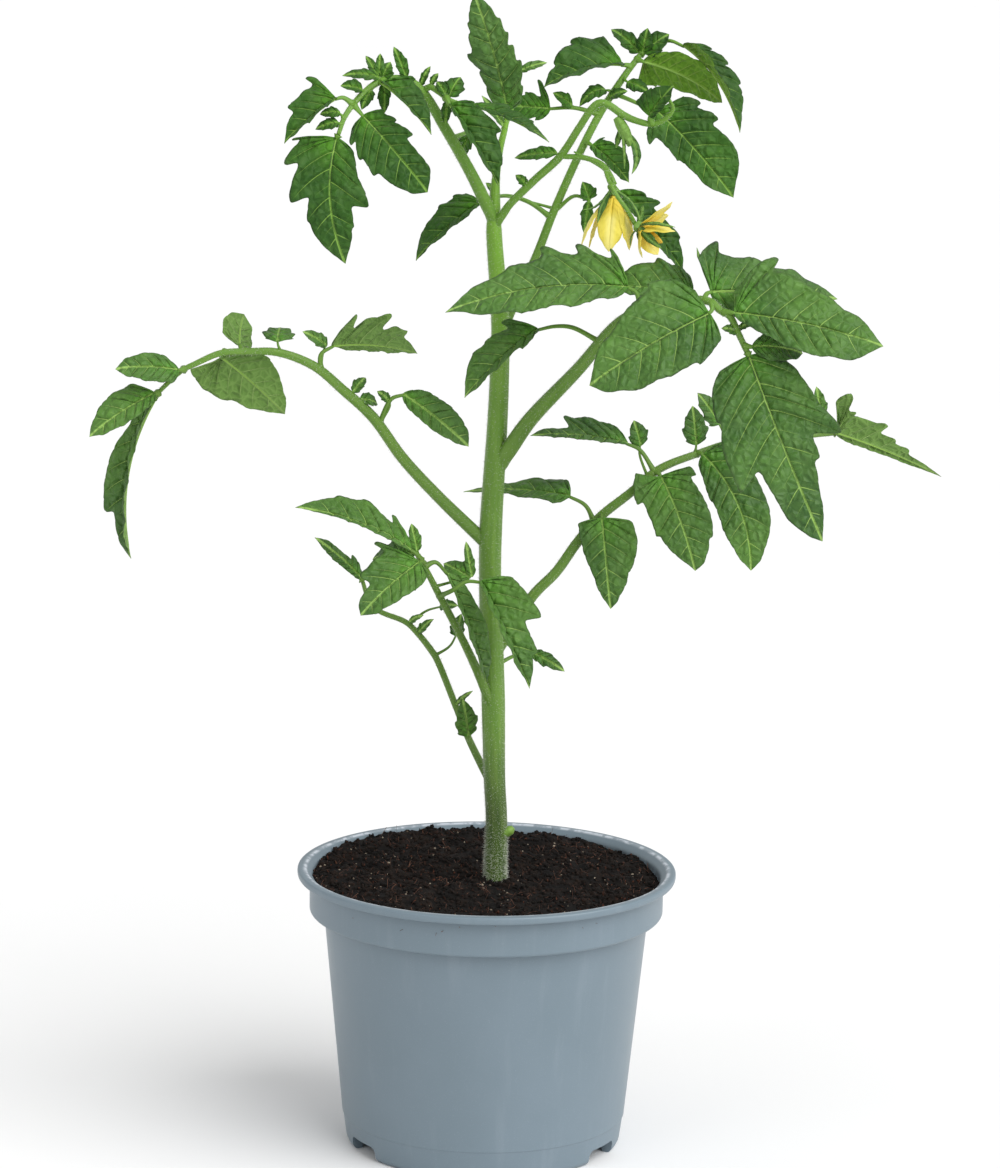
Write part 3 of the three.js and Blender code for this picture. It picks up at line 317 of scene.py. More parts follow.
@dataclass(frozen=True)
class StalkFinish:
    """A green stem or stalk: streaked along its length, darker and more olive towards the soil."""

    name: str
    low: Colour
    middle: Colour
    high: Colour
    gloss: float = 0.42

    def material(self) -> bpy.types.Material:
        """Builds the material from the height in the plant and the stalk's own map."""
        r = Recipe(self.name)
        _, _, height = r.axes()
        round_, length = r.map_pair("place")
        lines = r.node("CombineXYZ", X=round_, Y=length * 0.05).outputs[0]
        streak = r.cloud(0.9, 4.0, lines).step(0.3, 0.7)
        blotch = r.cloud(60.0, 3.0).step(0.35, 0.7)
        stops = [(0.0, self.low), (0.1, self.low), (0.2, self.middle), (0.5, self.middle), (0.8, self.high)]
        rise = (height - LOW_STEM) / (HIGH_STEM - LOW_STEM)
        ramp = r.node("ValToRGB", {"stops": stops}, Fac=rise).outputs[0]
        colour = r.mix(streak * 0.4, ramp, r.mix(0.35, ramp, STREAK_LIME))
        colour = r.mix(blotch * 0.28, colour, r.mix(0.5, ramp, BLOTCH_GREEN))
        lift = r.bump(streak, 0.0002, 0.6)
        lift = r.bump(r.cloud(1500.0, 2.0), 0.00006, 0.6, lift)
        return r.finish(Base_Color=colour, Roughness=blotch * 0.12 + self.gloss, Normal=lift,
                        Specular_IOR_Level=0.4, Sheen_Weight=0.08, Sheen_Roughness=0.4)


PETAL_STREAK = (0.83, 0.64, 0.07)


@dataclass(frozen=True)
class PetalFinish:
    """A yellow petal: deep yellow at its base, cream along its middle, lemon at its margins."""

    name: str
    edge: Colour
    middle: Colour
    root: Colour

    def material(self) -> bpy.types.Material:
        """Builds the material from the petal's place map."""
        r = Recipe(self.name)
        across, along = r.map_pair("place")
        lines = r.node("CombineXYZ", X=across * 1.6, Y=along * 0.12).outputs[0]
        fine = r.cloud(1.4, 3.0, lines)
        cream = across.math("ABSOLUTE").step(2.6, 0.6) * along.step(5.0, 9.0)
        colour = r.mix(cream * 0.7, self.edge, self.middle)
        colour = r.mix(along.step(8.0, 3.0) * 0.8, colour, self.root)
        colour = r.mix(fine.step(0.45, 0.75) * 0.3, colour, PETAL_STREAK)
        return r.finish(Base_Color=colour, Roughness=fine * 0.2 + 0.42, Normal=r.bump(fine, 0.0002, 0.7),
                        Specular_IOR_Level=0.35)


@dataclass(frozen=True)
class PlainGrowth:
    """A small part with a soft mottled colour, such as anthers or hairs."""

    name: str
    dark: Colour
    light: Colour
    scale: float = 700.0
    rough: float = 0.5

    def material(self) -> bpy.types.Material:
        """Builds the material from noise on the object coordinates."""
        r = Recipe(self.name)
        patch = r.cloud(self.scale, 3.0)
        colour = r.mix(patch.step(0.3, 0.7), self.dark, self.light)
        return r.finish(Base_Color=colour, Roughness=patch * 0.15 + self.rough, Normal=r.bump(patch, 0.0001, 0.5))


SOILED_BROWN = (0.03, 0.02, 0.015)


@dataclass(frozen=True)
class PotFinish:
    """Moulded grey-blue plastic: satin, a little dusty and scuffed, with a painted highlight in patches along the
    rim's inner edge, soiled inside above the peat.

    The heights and radii of its bands are in metres.
    """

    name: str
    body: Colour
    dusty: Colour
    worn: Colour
    rim_height: float = 0.1114
    rim_inner: float = 0.0718
    peat_line: float = 0.0948
    inner_wall: float = 0.069

    def material(self) -> bpy.types.Material:
        """Builds the material from height and radius on the pot."""
        r = Recipe(self.name)
        x, y, z = r.axes()
        radius = (x * x + y * y).math("SQRT")
        cloudy = r.cloud(24.0, 4.0).step(0.35, 0.7)
        speck = r.cloud(2600.0, 2.0).step(0.6, 0.74)
        drag = r.node("Mapping", Vector=r.object_coordinates(), Scale=(1.0, 1.0, 0.12)).outputs[0]
        streak = r.cloud(130.0, 4.0, drag).step(0.52, 0.78)
        colour = r.mix(cloudy * 0.35, self.body, self.dusty)
        colour = r.mix(streak * 0.05, colour, self.worn)
        colour = r.mix(speck * 0.08, colour, self.worn)
        # painted highlight: a pale band on the rim's top along its inner edge, broken into patches; the same pale
        # colour marks the real scratches and specks above
        top = z.step(self.rim_height - 0.0009, self.rim_height - 0.0001)
        inner = radius.step(self.rim_inner + 0.0016, self.rim_inner - 0.0002)
        rim_highlight_patches = r.cloud(240.0, 4.0).step(0.42, 0.56)
        colour = r.mix(top * inner * (rim_highlight_patches * 0.7 + 0.25), colour, self.worn)
        soiled = (z.step(self.rim_height - 0.0015, self.rim_height - 0.005)
                  * z.step(self.peat_line - 0.0003, self.peat_line + 0.0004)
                  * radius.step(self.inner_wall + 0.0005, self.inner_wall - 0.0005)
                  * r.cloud(300.0, 4.0).step(0.4, 0.6))
        colour = r.mix(soiled * 0.7, colour, SOILED_BROWN)
        lift = r.bump(r.cloud(3200.0, 2.0), 0.00003, 0.5)
        lift = r.bump(streak, 0.00004, 0.4, lift)
        return r.finish(Base_Color=colour, Roughness=cloudy * 0.1 + streak * 0.08 + 0.36, Normal=lift,
                        Specular_IOR_Level=0.5)


PALE_GRAIN = (0.32, 0.24, 0.19)


@dataclass(frozen=True)
class SoilFinish:
    """Dark peat, with brown lumps and reddish fibre dust."""

    name: str
    dark: Colour
    brown: Colour
    fibre: Colour

    def material(self) -> bpy.types.Material:
        """Builds the material from noise at three sizes."""
        r = Recipe(self.name)
        lump = r.cloud(150.0, 5.0)
        grain = r.cloud(900.0, 4.0)
        strand = r.node("Mapping", Vector=r.object_coordinates(), Scale=(1.0, 0.25, 1.0),
                        Rotation=(0.0, 0.0, 0.7)).outputs[0]
        thread = r.cloud(800.0, 3.0, strand).step(0.62, 0.7)
        colour = r.mix(lump.step(0.4, 0.66), self.dark, self.brown)
        colour = r.mix(thread * 0.7, colour, self.fibre)
        colour = r.mix(grain.step(0.72, 0.78) * 0.5, colour, PALE_GRAIN)
        lift = r.bump(lump * 0.6 + grain * 0.5, 0.0012)
        return r.finish(Base_Color=colour, Roughness=grain * 0.1 + 0.86, Normal=lift, Specular_IOR_Level=0.2)


class Finish(Enum):
    """Every finish on the plant."""

    LEAF = LeafFinish("leaf_blade", srgb(46, 88, 27), srgb(82, 127, 44), srgb(84, 148, 26), srgb(152, 190, 94),
                      srgb(98, 134, 58), srgb(140, 172, 94))
    TOP_LEAF = LeafFinish("top_leaf_blade", srgb(32, 72, 16), srgb(60, 108, 30), srgb(88, 150, 28),
                          srgb(128, 170, 72), srgb(96, 140, 36), srgb(140, 176, 72), 0.55, 0.2)
    SEPAL = LeafFinish("sepal_green", srgb(46, 92, 24), srgb(74, 124, 34), srgb(84, 142, 40), srgb(124, 164, 72),
                       srgb(84, 130, 50), srgb(130, 166, 84))
    RIB = StalkFinish("leaf_rib", srgb(112, 150, 58), srgb(126, 164, 66), srgb(132, 172, 72), 0.5)
    STEM = StalkFinish("stem_skin", srgb(54, 78, 24), srgb(88, 128, 38), srgb(112, 162, 42))
    STALK = StalkFinish("stalk_skin", srgb(76, 108, 32), srgb(84, 122, 36), srgb(96, 142, 42))
    PETAL = PetalFinish("petal_yellow", srgb(228, 212, 84), srgb(238, 228, 140), srgb(236, 206, 66))
    ANTHER = PlainGrowth("anther_yellow", srgb(222, 170, 34), srgb(244, 212, 78))
    HAIR = PlainGrowth("downy_hair", srgb(206, 214, 190), srgb(240, 243, 232), 500.0, 0.6)
    POT = PotFinish("pot_plastic", srgb(108, 124, 134), srgb(119, 134, 145), srgb(204, 211, 220))
    SOIL = SoilFinish("peat", srgb(9, 7, 6), srgb(24, 18, 14), srgb(66, 38, 26))
    CRUMB = SoilFinish("peat_crumb", srgb(13, 10, 8), srgb(33, 24, 19), srgb(92, 52, 36))
    FIBRE = PlainGrowth("peat_fibre", srgb(66, 38, 28), srgb(112, 74, 56), 300.0, 0.8)
    FLECK = PlainGrowth("pale_fleck", srgb(96, 82, 68), srgb(160, 148, 130), 300.0, 0.8)


class Wardrobe:
    """Builds each finish once and hands out its material."""

    def __init__(self) -> None:
        """Starts with nothing built."""
        self._made: dict[Finish, bpy.types.Material] = {}

    def __getitem__(self, finish: Finish) -> bpy.types.Material:
        """Returns a finish's material, building it the first time."""
        if finish not in self._made:
            self._made[finish] = finish.value.material()
        return self._made[finish]


WARDROBE = Wardrobe()


# ---- meshes ----


@dataclass
class Shell:
    """Points, faces and per-point maps of one or more closed shells, in millimetres."""

    points: list[Array] = field(default_factory=list)
    faces: list[Array] = field(default_factory=list)
    place: list[Array] = field(default_factory=list)
    veins: list[Array] = field(default_factory=list)
    zone: list[Array] = field(default_factory=list)
    slots: list[Array] = field(default_factory=list)
    count: int = 0

    def add(self, points: Array, faces: Sequence[Sequence[int]], place: Array | None = None,
            veins: Array | None = None, zone: Array | None = None, slot: int = 0) -> None:
        """Adds a closed shell.

        Args:
            points: its points, one row each.
            faces: its faces, counted from its own first point.
            place: across and along in millimetres, for each point.
            veins: vein phase and vein spacing, for each point.
            zone: share of the way to the margin and the underside's mark, for each point.
            slot: the material slot of its faces.
        """
        blank = np.zeros((len(points), 2))
        self.points.append(points)
        self.faces.extend([np.asarray(f) + self.count for f in faces])
        self.place.append(blank if place is None else place)
        self.veins.append(blank if veins is None else veins)
        self.zone.append(blank if zone is None else zone)
        self.slots.append(np.full(len(faces), slot))
        self.count += len(points)

    def piece(self, name: str, finishes: Sequence[Finish]) -> bpy.types.Object:
        """Makes the Blender object, with its maps and materials."""
        mesh = bpy.data.meshes.new(name)
        mesh.from_pydata((np.concatenate(self.points) * MM).tolist(), [], [f.tolist() for f in self.faces])
        corner = np.empty(len(mesh.loops), dtype=np.int64)
        mesh.loops.foreach_get("vertex_index", corner)
        for title, rows in (("place", self.place), ("veins", self.veins), ("zone", self.zone)):
            mesh.uv_layers.new(name=title).data.foreach_set(
                "uv", np.concatenate(rows)[corner].astype(np.float32).ravel())
        for finish in finishes:
            mesh.materials.append(WARDROBE[finish])
        mesh.polygons.foreach_set("material_index", np.concatenate(self.slots).astype(np.int32))
        mesh.polygons.foreach_set("use_smooth", np.full(len(mesh.polygons), True))
        mesh.update()
        made = bpy.data.objects.new(name, mesh)
        bpy.context.scene.collection.objects.link(made)
        return made


def settle(piece: bpy.types.Object, slot: str, *nodes: str) -> bpy.types.Object:
    """Makes a piece ride on the plant, hides the nodes that it stands for, and returns it."""
    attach(piece, "root")
    if nodes:
        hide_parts(*nodes)
    LOG.info("%s: %d faces", piece.name, len(piece.data.polygons))
    return piece


def unit(v: Array) -> Array:
    """Returns vectors at length one."""
    return v / np.maximum(np.linalg.norm(v, axis=-1, keepdims=True), 1e-12)


def closed_rings(rings: int, sides: int) -> list[tuple[int, ...]]:
    """Returns the faces of a tube of rings, whose two end points come after all of its rings."""
    faces: list[tuple[int, ...]] = []
    for i in range((rings - 1) * sides):
        n = i + 1 if (i + 1) % sides else i + 1 - sides
        faces.append((i, n, n + sides, i + sides))
    low, high, last = rings * sides, rings * sides + 1, (rings - 1) * sides
    for k in range(sides):
        n = (k + 1) % sides
        faces.append((low, n, k))
        faces.append((high, last + k, last + n))
    return faces


LINE_STEPS = 24


def centripetal(points: Array) -> Array:
    """Returns a smooth line through points, as LINE_STEPS short steps between each two."""
    p = np.vstack([2 * points[0] - points[1], points, 2 * points[-1] - points[-2]])
    out = [points[:1]]
    for i in range(1, len(p) - 2):
        a, b, c, d = p[i - 1], p[i], p[i + 1], p[i + 2]
        t1 = np.linalg.norm(b - a) ** 0.5
        t2 = t1 + np.linalg.norm(c - b) ** 0.5
        t3 = t2 + np.linalg.norm(d - c) ** 0.5
        t = np.linspace(t1, t2, LINE_STEPS + 1)[1:, None]
        a1 = (t1 - t) / t1 * a + t / t1 * b
        a2 = (t2 - t) / (t2 - t1) * b + (t - t1) / (t2 - t1) * c
        a3 = (t3 - t) / (t3 - t2) * c + (t - t2) / (t3 - t2) * d
        b1 = (t2 - t) / t2 * a1 + t / t2 * a2
        b2 = (t3 - t) / (t3 - t1) * a2 + (t - t1) / (t3 - t1) * a3
        out.append((t2 - t) / (t2 - t1) * b1 + (t - t1) / (t2 - t1) * b2)
    return np.vstack(out)


@dataclass
class Route:
    """A stalk's route: rows of x, y, z and radius."""

    rows: Sequence[Point]

    def __post_init__(self) -> None:
        """Works out the smooth line and its lengths."""
        table = np.array(self.rows, float)
        self.line = centripetal(table[:, :3])
        steps = np.linalg.norm(np.diff(self.line, axis=0), axis=1)
        self.places = np.concatenate([[0], np.cumsum(steps)])
        self.length = float(self.places[-1])
        self.radii = np.interp(self.places, self.places[::LINE_STEPS], table[:, 3])

    def at(self, share: float) -> Array:
        """Returns the point at a share of the length."""
        return np.array([np.interp(share * self.length, self.places, self.line[:, k]) for k in range(3)])

    def tube(self, shell: Shell, sides: int, step: float, flare: float = 0.0, seed: float = 0.0,
             slot: int = 0, ridge: float = 0.05) -> None:
        """Adds the closed tube to a shell.

        Args:
            shell: where the tube goes.
            sides: points round each ring.
            step: distance between rings.
            flare: how much wider the first ring is, as a share of the radius.
            seed: turns the ridges.
            slot: the material slot.
            ridge: depth of the lengthwise ridges, as a share of the radius.
        """
        rings = max(3, int(round(self.length / step))) + 1
        where = np.linspace(0, self.length, rings)
        centre = np.stack([np.interp(where, self.places, self.line[:, k]) for k in range(3)], -1)
        radius = np.interp(where, self.places, self.radii)
        radius = radius * (1 + flare * np.exp(-where / (1.6 * radius[0])))
        tangent = unit(np.gradient(centre, axis=0))
        # each ring starts where the one before it does, with no twist
        side = np.cross(tangent[0], [0.3, 0.9, 0.1])
        first = np.empty_like(tangent)
        for number, t in enumerate(tangent):
            side = side - t * (side @ t)
            side = side / np.linalg.norm(side)
            first[number] = side
        second = np.cross(tangent, first)
        turn = np.linspace(0, 2 * np.pi, sides, endpoint=False)
        wave = 1 + ridge * np.cos(3 * turn + seed) + ridge * 0.6 * np.cos(5 * turn + 2 * seed)
        r = radius[:, None] * wave[None, :]
        ring = (centre[:, None, :] + r[..., None] * (np.cos(turn)[None, :, None] * first[:, None, :]
                                                     + np.sin(turn)[None, :, None] * second[:, None, :]))
        points = np.vstack([ring.reshape(-1, 3), centre[:1], centre[-1:]])
        place = np.stack([np.tile(turn * radius.mean(), rings), np.repeat(where, sides)], -1)
        shell.add(points, closed_rings(rings, sides), np.vstack([place, place[:1], place[-1:]]), slot=slot)


FOOT_REACH = 2.6


def rooted(route: Route, parent: Route) -> Route:
    """Returns a stalk's route with a swollen foot that begins inside the stalk or stem that it leaves.

    Args:
        route: the stalk's route.
        parent: the route that it grows from.
    """
    first = np.array(route.rows[0][:3], float)
    way = unit(np.array(route.rows[1][:3], float) - first)
    radius = route.rows[0][3]
    reach = FOOT_REACH * radius
    at = int(np.argmin(np.linalg.norm(parent.line - first, axis=1)))
    lower = parent.line[max(0, int(np.searchsorted(parent.places, parent.places[at] - reach)) - 1)]
    start = 0.8 * lower + 0.2 * (first - way * reach)
    swollen = [(*start, radius * 0.4), (*first, radius * 1.12), (*(first + way * reach), radius * 1.02)]
    return Route([*swollen, *route.rows[1:]])


# ---- blades ----

Lobes = Sequence[Sequence[float]]

LEAST_GAP, MOST_GAP, GAP_SHARE = 2.6, 8.5, 0.13
MARGIN_PASSES = 4
MIDRIB_END = 0.93
MARGIN_SEED = 500
BIT_SEED = 900


@dataclass
class Blade:
    """A leaflet, petal or sepal, from base to tip, with lobed margins.

    A side is rows of place along the midrib, width, depth of the notch behind the lobe as a share of the width,
    and how far the notch runs back along the midrib.
    """

    base: Point
    tip: Point
    face: Point = (0, -0.8, 0.6)
    left: Lobes = ()
    right: Lobes = ()
    arch: float = 0.0
    bend: float = 0.0
    fold: tuple[float, float] = (0, 0)
    quilt: float = 1.0
    curl: float = 0.04
    keel: float = 7.0
    teeth: float = 0.3
    slant: float = 0.85
    thick: float = 0.32
    neck: float = 0.7
    rib: float = 0.46
    rows: int = 84
    columns: int = 14
    seed: int = 0

    def __post_init__(self) -> None:
        """Works out the blade's own axes."""
        self.start = np.array(self.base, float)
        chord = np.array(self.tip, float) - self.start
        self.length = float(np.linalg.norm(chord))
        self.along = chord / self.length
        up = np.array(self.face, float)
        self.up = unit(up - self.along * (up @ self.along))
        self.across = np.cross(self.along, self.up)
        self.gap = min(MOST_GAP, max(LEAST_GAP, GAP_SHARE * self.length))

    def midrib(self, s: Array) -> Array:
        """Returns the midrib's points at shares s of the chord."""
        held = np.clip(s, 0, 1)
        rise = (4 * held * (1 - held))[..., None]
        return (self.start + self.along * (np.asarray(s)[..., None] * self.length)
                + (self.arch * self.up + self.bend * self.across) * rise)

    def axes_at(self, s: Array) -> tuple[Array, Array]:
        """Returns the outward and rising directions at shares s."""
        slope = unit(self.midrib(s + 0.01) - self.midrib(s - 0.01))
        out = unit(self.across - slope * (slope @ self.across)[..., None])
        return out, np.cross(out, slope)

    def arcs(self, lobes: Lobes) -> list[tuple[tuple[float, float, float], tuple[float, float, float], str]]:
        """Returns one margin's arcs: the ends of each, as place, width and vein count, and its kind."""
        arcs = []
        here = (0.0, self.neck, 0.0)
        count = 0
        for lobe in lobes:
            s, w, notch = (*lobe, 0.0)[:3]
            back = lobe[3] if len(lobe) > 3 else 0.3 * w * notch
            count += max(1, round((s - here[0]) * self.length / self.gap))
            arcs.append((here, (s, w, count), "arc" if arcs else "first"))
            here = (s, w, count)
            if notch:
                valley = (s - min(back, 0.75 * w * notch) / self.length, w * (1 - notch), count + 0.3)
                arcs.append((here, valley, "notch"))
                here = valley
        count += max(1, round((1 - here[0]) * self.length / self.gap))
        arcs.append((here, (1.0, 0.02, count), "last"))
        return arcs

    def margin(self, lobes: Lobes, seed: int) -> tuple[Array, Array, Array]:
        """Returns place, width and vein phase along one margin, one row each."""
        arcs = self.arcs(lobes)
        spans = np.array([0.2 + math.hypot((b[0] - a[0]) * self.length, b[1] - a[1]) for a, b, _ in arcs])
        share = np.maximum(3, np.round(spans / spans.sum() * self.rows)).astype(int)
        while share.sum() > self.rows:
            share[int(np.argmax(share))] -= 1
        while share.sum() < self.rows:
            share[int(np.argmax(spans / share))] += 1
        s_all, w_all, p_all = [np.array([0.0])], [np.array([self.neck])], [np.array([0.0])]
        for ((a_s, a_w, a_p), (b_s, b_w, b_p), kind), rows in zip(arcs, share):
            t = np.arange(1, rows + 1) / rows
            if kind == "last":
                w = a_w + (b_w - a_w) * (1 - np.cos(t * np.pi / 2) ** 1.12)
            elif kind == "notch":
                w = a_w + (b_w - a_w) * t
            elif b_w >= a_w:
                w = a_w + (b_w - a_w) * np.sin(t * np.pi / 2) ** (0.72 if kind == "first" else 1.0)
            else:
                w = a_w + (b_w - a_w) * (1 - np.cos(t * np.pi / 2))
            s_all.append(a_s + (b_s - a_s) * t)
            w_all.append(w)
            p_all.append(a_p + (b_p - a_p) * t)
        s, w, phase = (np.concatenate(v) for v in (s_all, w_all, p_all))
        for _ in range(MARGIN_PASSES):
            s[1:-1] = 0.5 * s[1:-1] + 0.25 * (s[:-2] + s[2:])
            w[1:-1] = 0.5 * w[1:-1] + 0.25 * (w[:-2] + w[2:])
        # small teeth, fading out at both ends and where the blade is narrow
        rng = np.random.default_rng(MARGIN_SEED + seed)
        run = np.concatenate([[0], np.cumsum(np.hypot(np.diff(s) * self.length, np.diff(w)))])
        bite = run / rng.uniform(3.6, 5.2) + rng.uniform(0, 1) + 0.25 * np.sin(run * 0.21 + rng.uniform(0, 6))
        bump = (bite % 1.0) ** 0.7 * (1 - (bite % 1.0)) ** 0.35 * 1.9 - 0.6
        fade = np.clip(run / 4, 0, 1) * np.clip((run[-1] - run) / 5, 0, 1) * np.clip(w / 2, 0, 1)
        return s, np.maximum(w + self.teeth * bump * fade, 0.02), phase

    def relief(self, w_m: Array, phase: Array, w: Array, c: Array, rng: np.random.Generator) -> Array:
        """Returns how far the sheet stands off its flat form.

        Args:
            w_m: the margin's distance from the midrib, row by row.
            phase: the vein phase, row by row.
            w: the distance from the midrib at each point.
            c: the share of the way to the margin, column by column.
            rng: draws the puckers and the waves.
        """
        widest = float(w_m.max())
        even = np.linspace(0, 1, len(w_m))
        # pillows between the side veins
        between = np.abs(np.sin(np.pi * phase))[:, None]
        finer = np.abs(np.sin(2 * np.pi * phase))[:, None]
        bell = np.clip(c / 0.16, 0, 1) * (1 - 0.6 * c ** 2)
        size = 0.2 * self.gap * self.quilt
        band = rng.uniform(0, 6.3, int(phase[-1]) + 2)[np.floor(phase).astype(int)][:, None]
        pucker = 0.8 + 0.28 * np.sin(w * 1.15 + band)
        height = size * (between ** 0.8 * pucker + 0.3 * finer) * bell[None, :]
        height *= np.clip(w_m / widest, 0.15, 1)[:, None]
        # a ruffle that grows towards the margin, and the margin's curl
        waves = rng.uniform(0, 6.3, 3)
        ruffle = 0.05 * widest * c[None, :] ** 2 * np.sin(np.pi * phase + waves[0])[:, None]
        ruffle += 0.035 * widest * c[None, :] ** 2 * np.sin(7 * even + waves[1])[:, None]
        ruffle *= np.clip(2 * w_m / widest, 0, 1)[:, None]
        return height + ruffle - self.curl * w * c[None, :] ** 1.5

    def half(self, shell: Shell, side: int, slot: int) -> None:
        """Adds the closed half blade on one side, -1 for left and 1 for right."""
        lobes = self.left if side < 0 else self.right
        s_m, w_m, phase = self.margin(lobes, self.seed * 2 + (side > 0))
        rng = np.random.default_rng(self.seed * 2 + (side > 0))
        # rows start lower on the midrib than they end on the margin, as the side veins do
        wanted = np.clip(s_m - self.slant * w_m / self.length, 0, 1)
        even = np.linspace(0, 1, len(s_m))
        s_r = 0.95 * np.maximum.accumulate(wanted) + 0.05 * even
        s_r = s_r / s_r[-1]
        c = np.linspace(0, 1, self.columns + 1) ** 0.9
        s = s_r[:, None] + (s_m - s_r)[:, None] * (c ** 1.2)[None, :]
        w = w_m[:, None] * c[None, :]
        height = self.relief(w_m, phase, w, c, rng)
        # the sheet in space, then its two faces
        out, rise = self.axes_at(s)
        angle = math.radians(self.fold[0 if side < 0 else 1] + self.keel)
        outward, upward = side * w * math.cos(angle), w * math.sin(angle)
        flat = self.midrib(s) + out * outward[..., None] + rise * upward[..., None]
        lift = rise * math.cos(angle) - out * (side * math.sin(angle))
        mid = flat + lift * height[..., None]
        d_row, d_col = np.gradient(mid, axis=0), np.gradient(mid, axis=1)
        normal = unit(np.cross(d_col, d_row) * side)
        normal = np.where(np.linalg.norm(normal, axis=-1, keepdims=True) > 0.5, normal, lift)
        half_thick = self.thick / 2 * (1 - 0.55 * c[None, :, None])
        top, low = mid + normal * half_thick, mid - normal * half_thick
        step = np.linalg.norm(np.cross(d_row, unit(d_col)), axis=-1)
        turn = np.maximum(np.gradient(phase)[:, None], 1e-3)
        spacing = np.clip(step / turn, 0.5, 30)
        place = np.stack([side * w, s * self.length], -1)
        veins = np.stack([np.broadcast_to(phase[:, None], s.shape), spacing], -1)
        reach = np.broadcast_to(c[None, :], s.shape)
        # rows of the closed sheet run out along the top and back along the underside
        loop = np.concatenate([top, low[:, ::-1]], axis=1)
        n, k = loop.shape[:2]
        faces: list[tuple[int, ...]] = []
        for i in range(n - 1):
            for j in range(k):
                m = (j + 1) % k
                faces.append((i * k + j, i * k + m, (i + 1) * k + m, (i + 1) * k + j))
        for j in range(k // 2 - 1):
            faces.append((j, k - 1 - j, k - 2 - j, j + 1))
            faces.append(tuple((n - 1) * k + v for v in (j, j + 1, k - 2 - j, k - 1 - j)))
        maps = [(place, place), (veins, veins),
                (np.stack([reach, np.zeros_like(reach)], -1), np.stack([reach, np.ones_like(reach)], -1))]
        shell.add(loop.reshape(-1, 3), [face[::side] for face in faces],
                  *[np.concatenate([above, below[:, ::-1]], axis=1).reshape(-1, 2) for above, below in maps], slot)

    def build(self, shell: Shell, slot: int = 0, rib_slot: int = 0) -> None:
        """Adds both halves and the raised midrib."""
        self.half(shell, -1, slot)
        self.half(shell, 1, slot)
        s = np.linspace(0.0, MIDRIB_END, 9)
        line = self.midrib(s) - self.axes_at(s)[1] * (self.rib * 0.3)
        rows = [(*p, max(0.1, self.rib * (1 - 0.85 * t))) for p, t in zip(line, s)]
        Route(rows).tube(shell, 10, max(1.0, self.length / 28), slot=rib_slot, ridge=0.0)


@dataclass
class Leaflet:
    """A large leaflet: where it leaves its stalk, the way there, and its blade."""

    at: float
    blade: Blade
    branch: int = 0
    via: Sequence[Point] = ()


@dataclass
class Bit:
    """One of the small leaflets that stand along a stalk."""

    at: float
    base: Point
    tip: Point
    width: float
    branch: int = 0
    arch: float = 1.0
    via: Sequence[Point] = ()

    def blade(self, seed: int) -> Blade:
        """Returns the bit's blade, lobed a little differently for each seed."""
        rng = np.random.default_rng(BIT_SEED + seed)
        half = self.width * 0.55
        sides = []
        for _ in range(2):
            a, b = rng.uniform(0.16, 0.26), rng.uniform(0.44, 0.56)
            sides.append([(a, half * rng.uniform(0.75, 0.95), 0.2), (b, half, 0.25), (0.78, half * 0.62, 0.2)])
        return Blade(self.base, self.tip, left=sides[0], right=sides[1], arch=self.arch, thick=0.3, neck=0.35,
                     rib=0.24, rows=40, columns=7, quilt=0.9, curl=float(rng.uniform(-0.25, 0.3)), teeth=0.2,
                     seed=seed)


@dataclass
class CompoundLeaf:
    """A leaf of many leaflets on one arching stalk."""

    name: str
    route: Sequence[Point]
    leaflets: Sequence[Leaflet]
    bits: Sequence[Bit] = ()
    branches: Sequence[Sequence[Point]] = ()

    @staticmethod
    def petiolule(shell: Shell, start: Array, via: Sequence[Point], blade: Blade, seed: int, thick: float) -> None:
        """Adds the small stalk between a point on the leaf's stalk and a blade."""
        end = blade.start + blade.along * 0.6
        if len(via):
            mids = [np.array(v, float) for v in via]
        else:
            back = end - blade.along * (np.linalg.norm(end - start) * 0.45)
            mids = [((start + end) / 2 + back) / 2]
        points = [start, *mids, end]
        radii = np.linspace(1.0, 0.62, len(points)) * thick
        rows = [(*p, r) for p, r in zip(points, radii)]
        Route(rows).tube(shell, 12, 0.9, flare=0.7, seed=seed)

    @property
    def skin(self) -> Finish:
        """Returns the finish of its blades: the topmost leaves are darker."""
        return Finish.TOP_LEAF if self.name in TOP_LEAVES else Finish.LEAF

    def build(self) -> None:
        """Builds the stalk piece and one piece for each leaflet."""
        routes = [Route(self.route), *[Route(b) for b in self.branches]]
        shell = Shell()
        for number, route in enumerate(routes):
            parent = STEM_LINE if number == 0 else routes[0]
            rooted(route, parent).tube(shell, 20, 1.2, seed=number + len(self.name))
        for number, leaflet in enumerate(self.leaflets):
            start = routes[leaflet.branch].at(leaflet.at)
            self.petiolule(shell, start, leaflet.via, leaflet.blade, number, 1.0)
        for number, bit in enumerate(self.bits):
            start = routes[bit.branch].at(bit.at)
            blade = bit.blade(number + len(self.name))
            self.petiolule(shell, start, bit.via, blade, number, 0.6)
            blade.build(shell, 1, 0)
        stalk = shell.piece(self.name + "_stalk_skin", [Finish.STALK, self.skin])
        settle(stalk, "stalk_green", self.name + "_stalk")
        for number, leaflet in enumerate(self.leaflets):
            blade_shell = Shell()
            leaflet.blade.seed = number + 10 * len(self.name)
            leaflet.blade.build(blade_shell, 0, 1)
            node = f"{self.name}_leaflet_{number + 1}"
            settle(blade_shell.piece(node + "_blade", [self.skin, Finish.RIB]), "leaf_green", node)


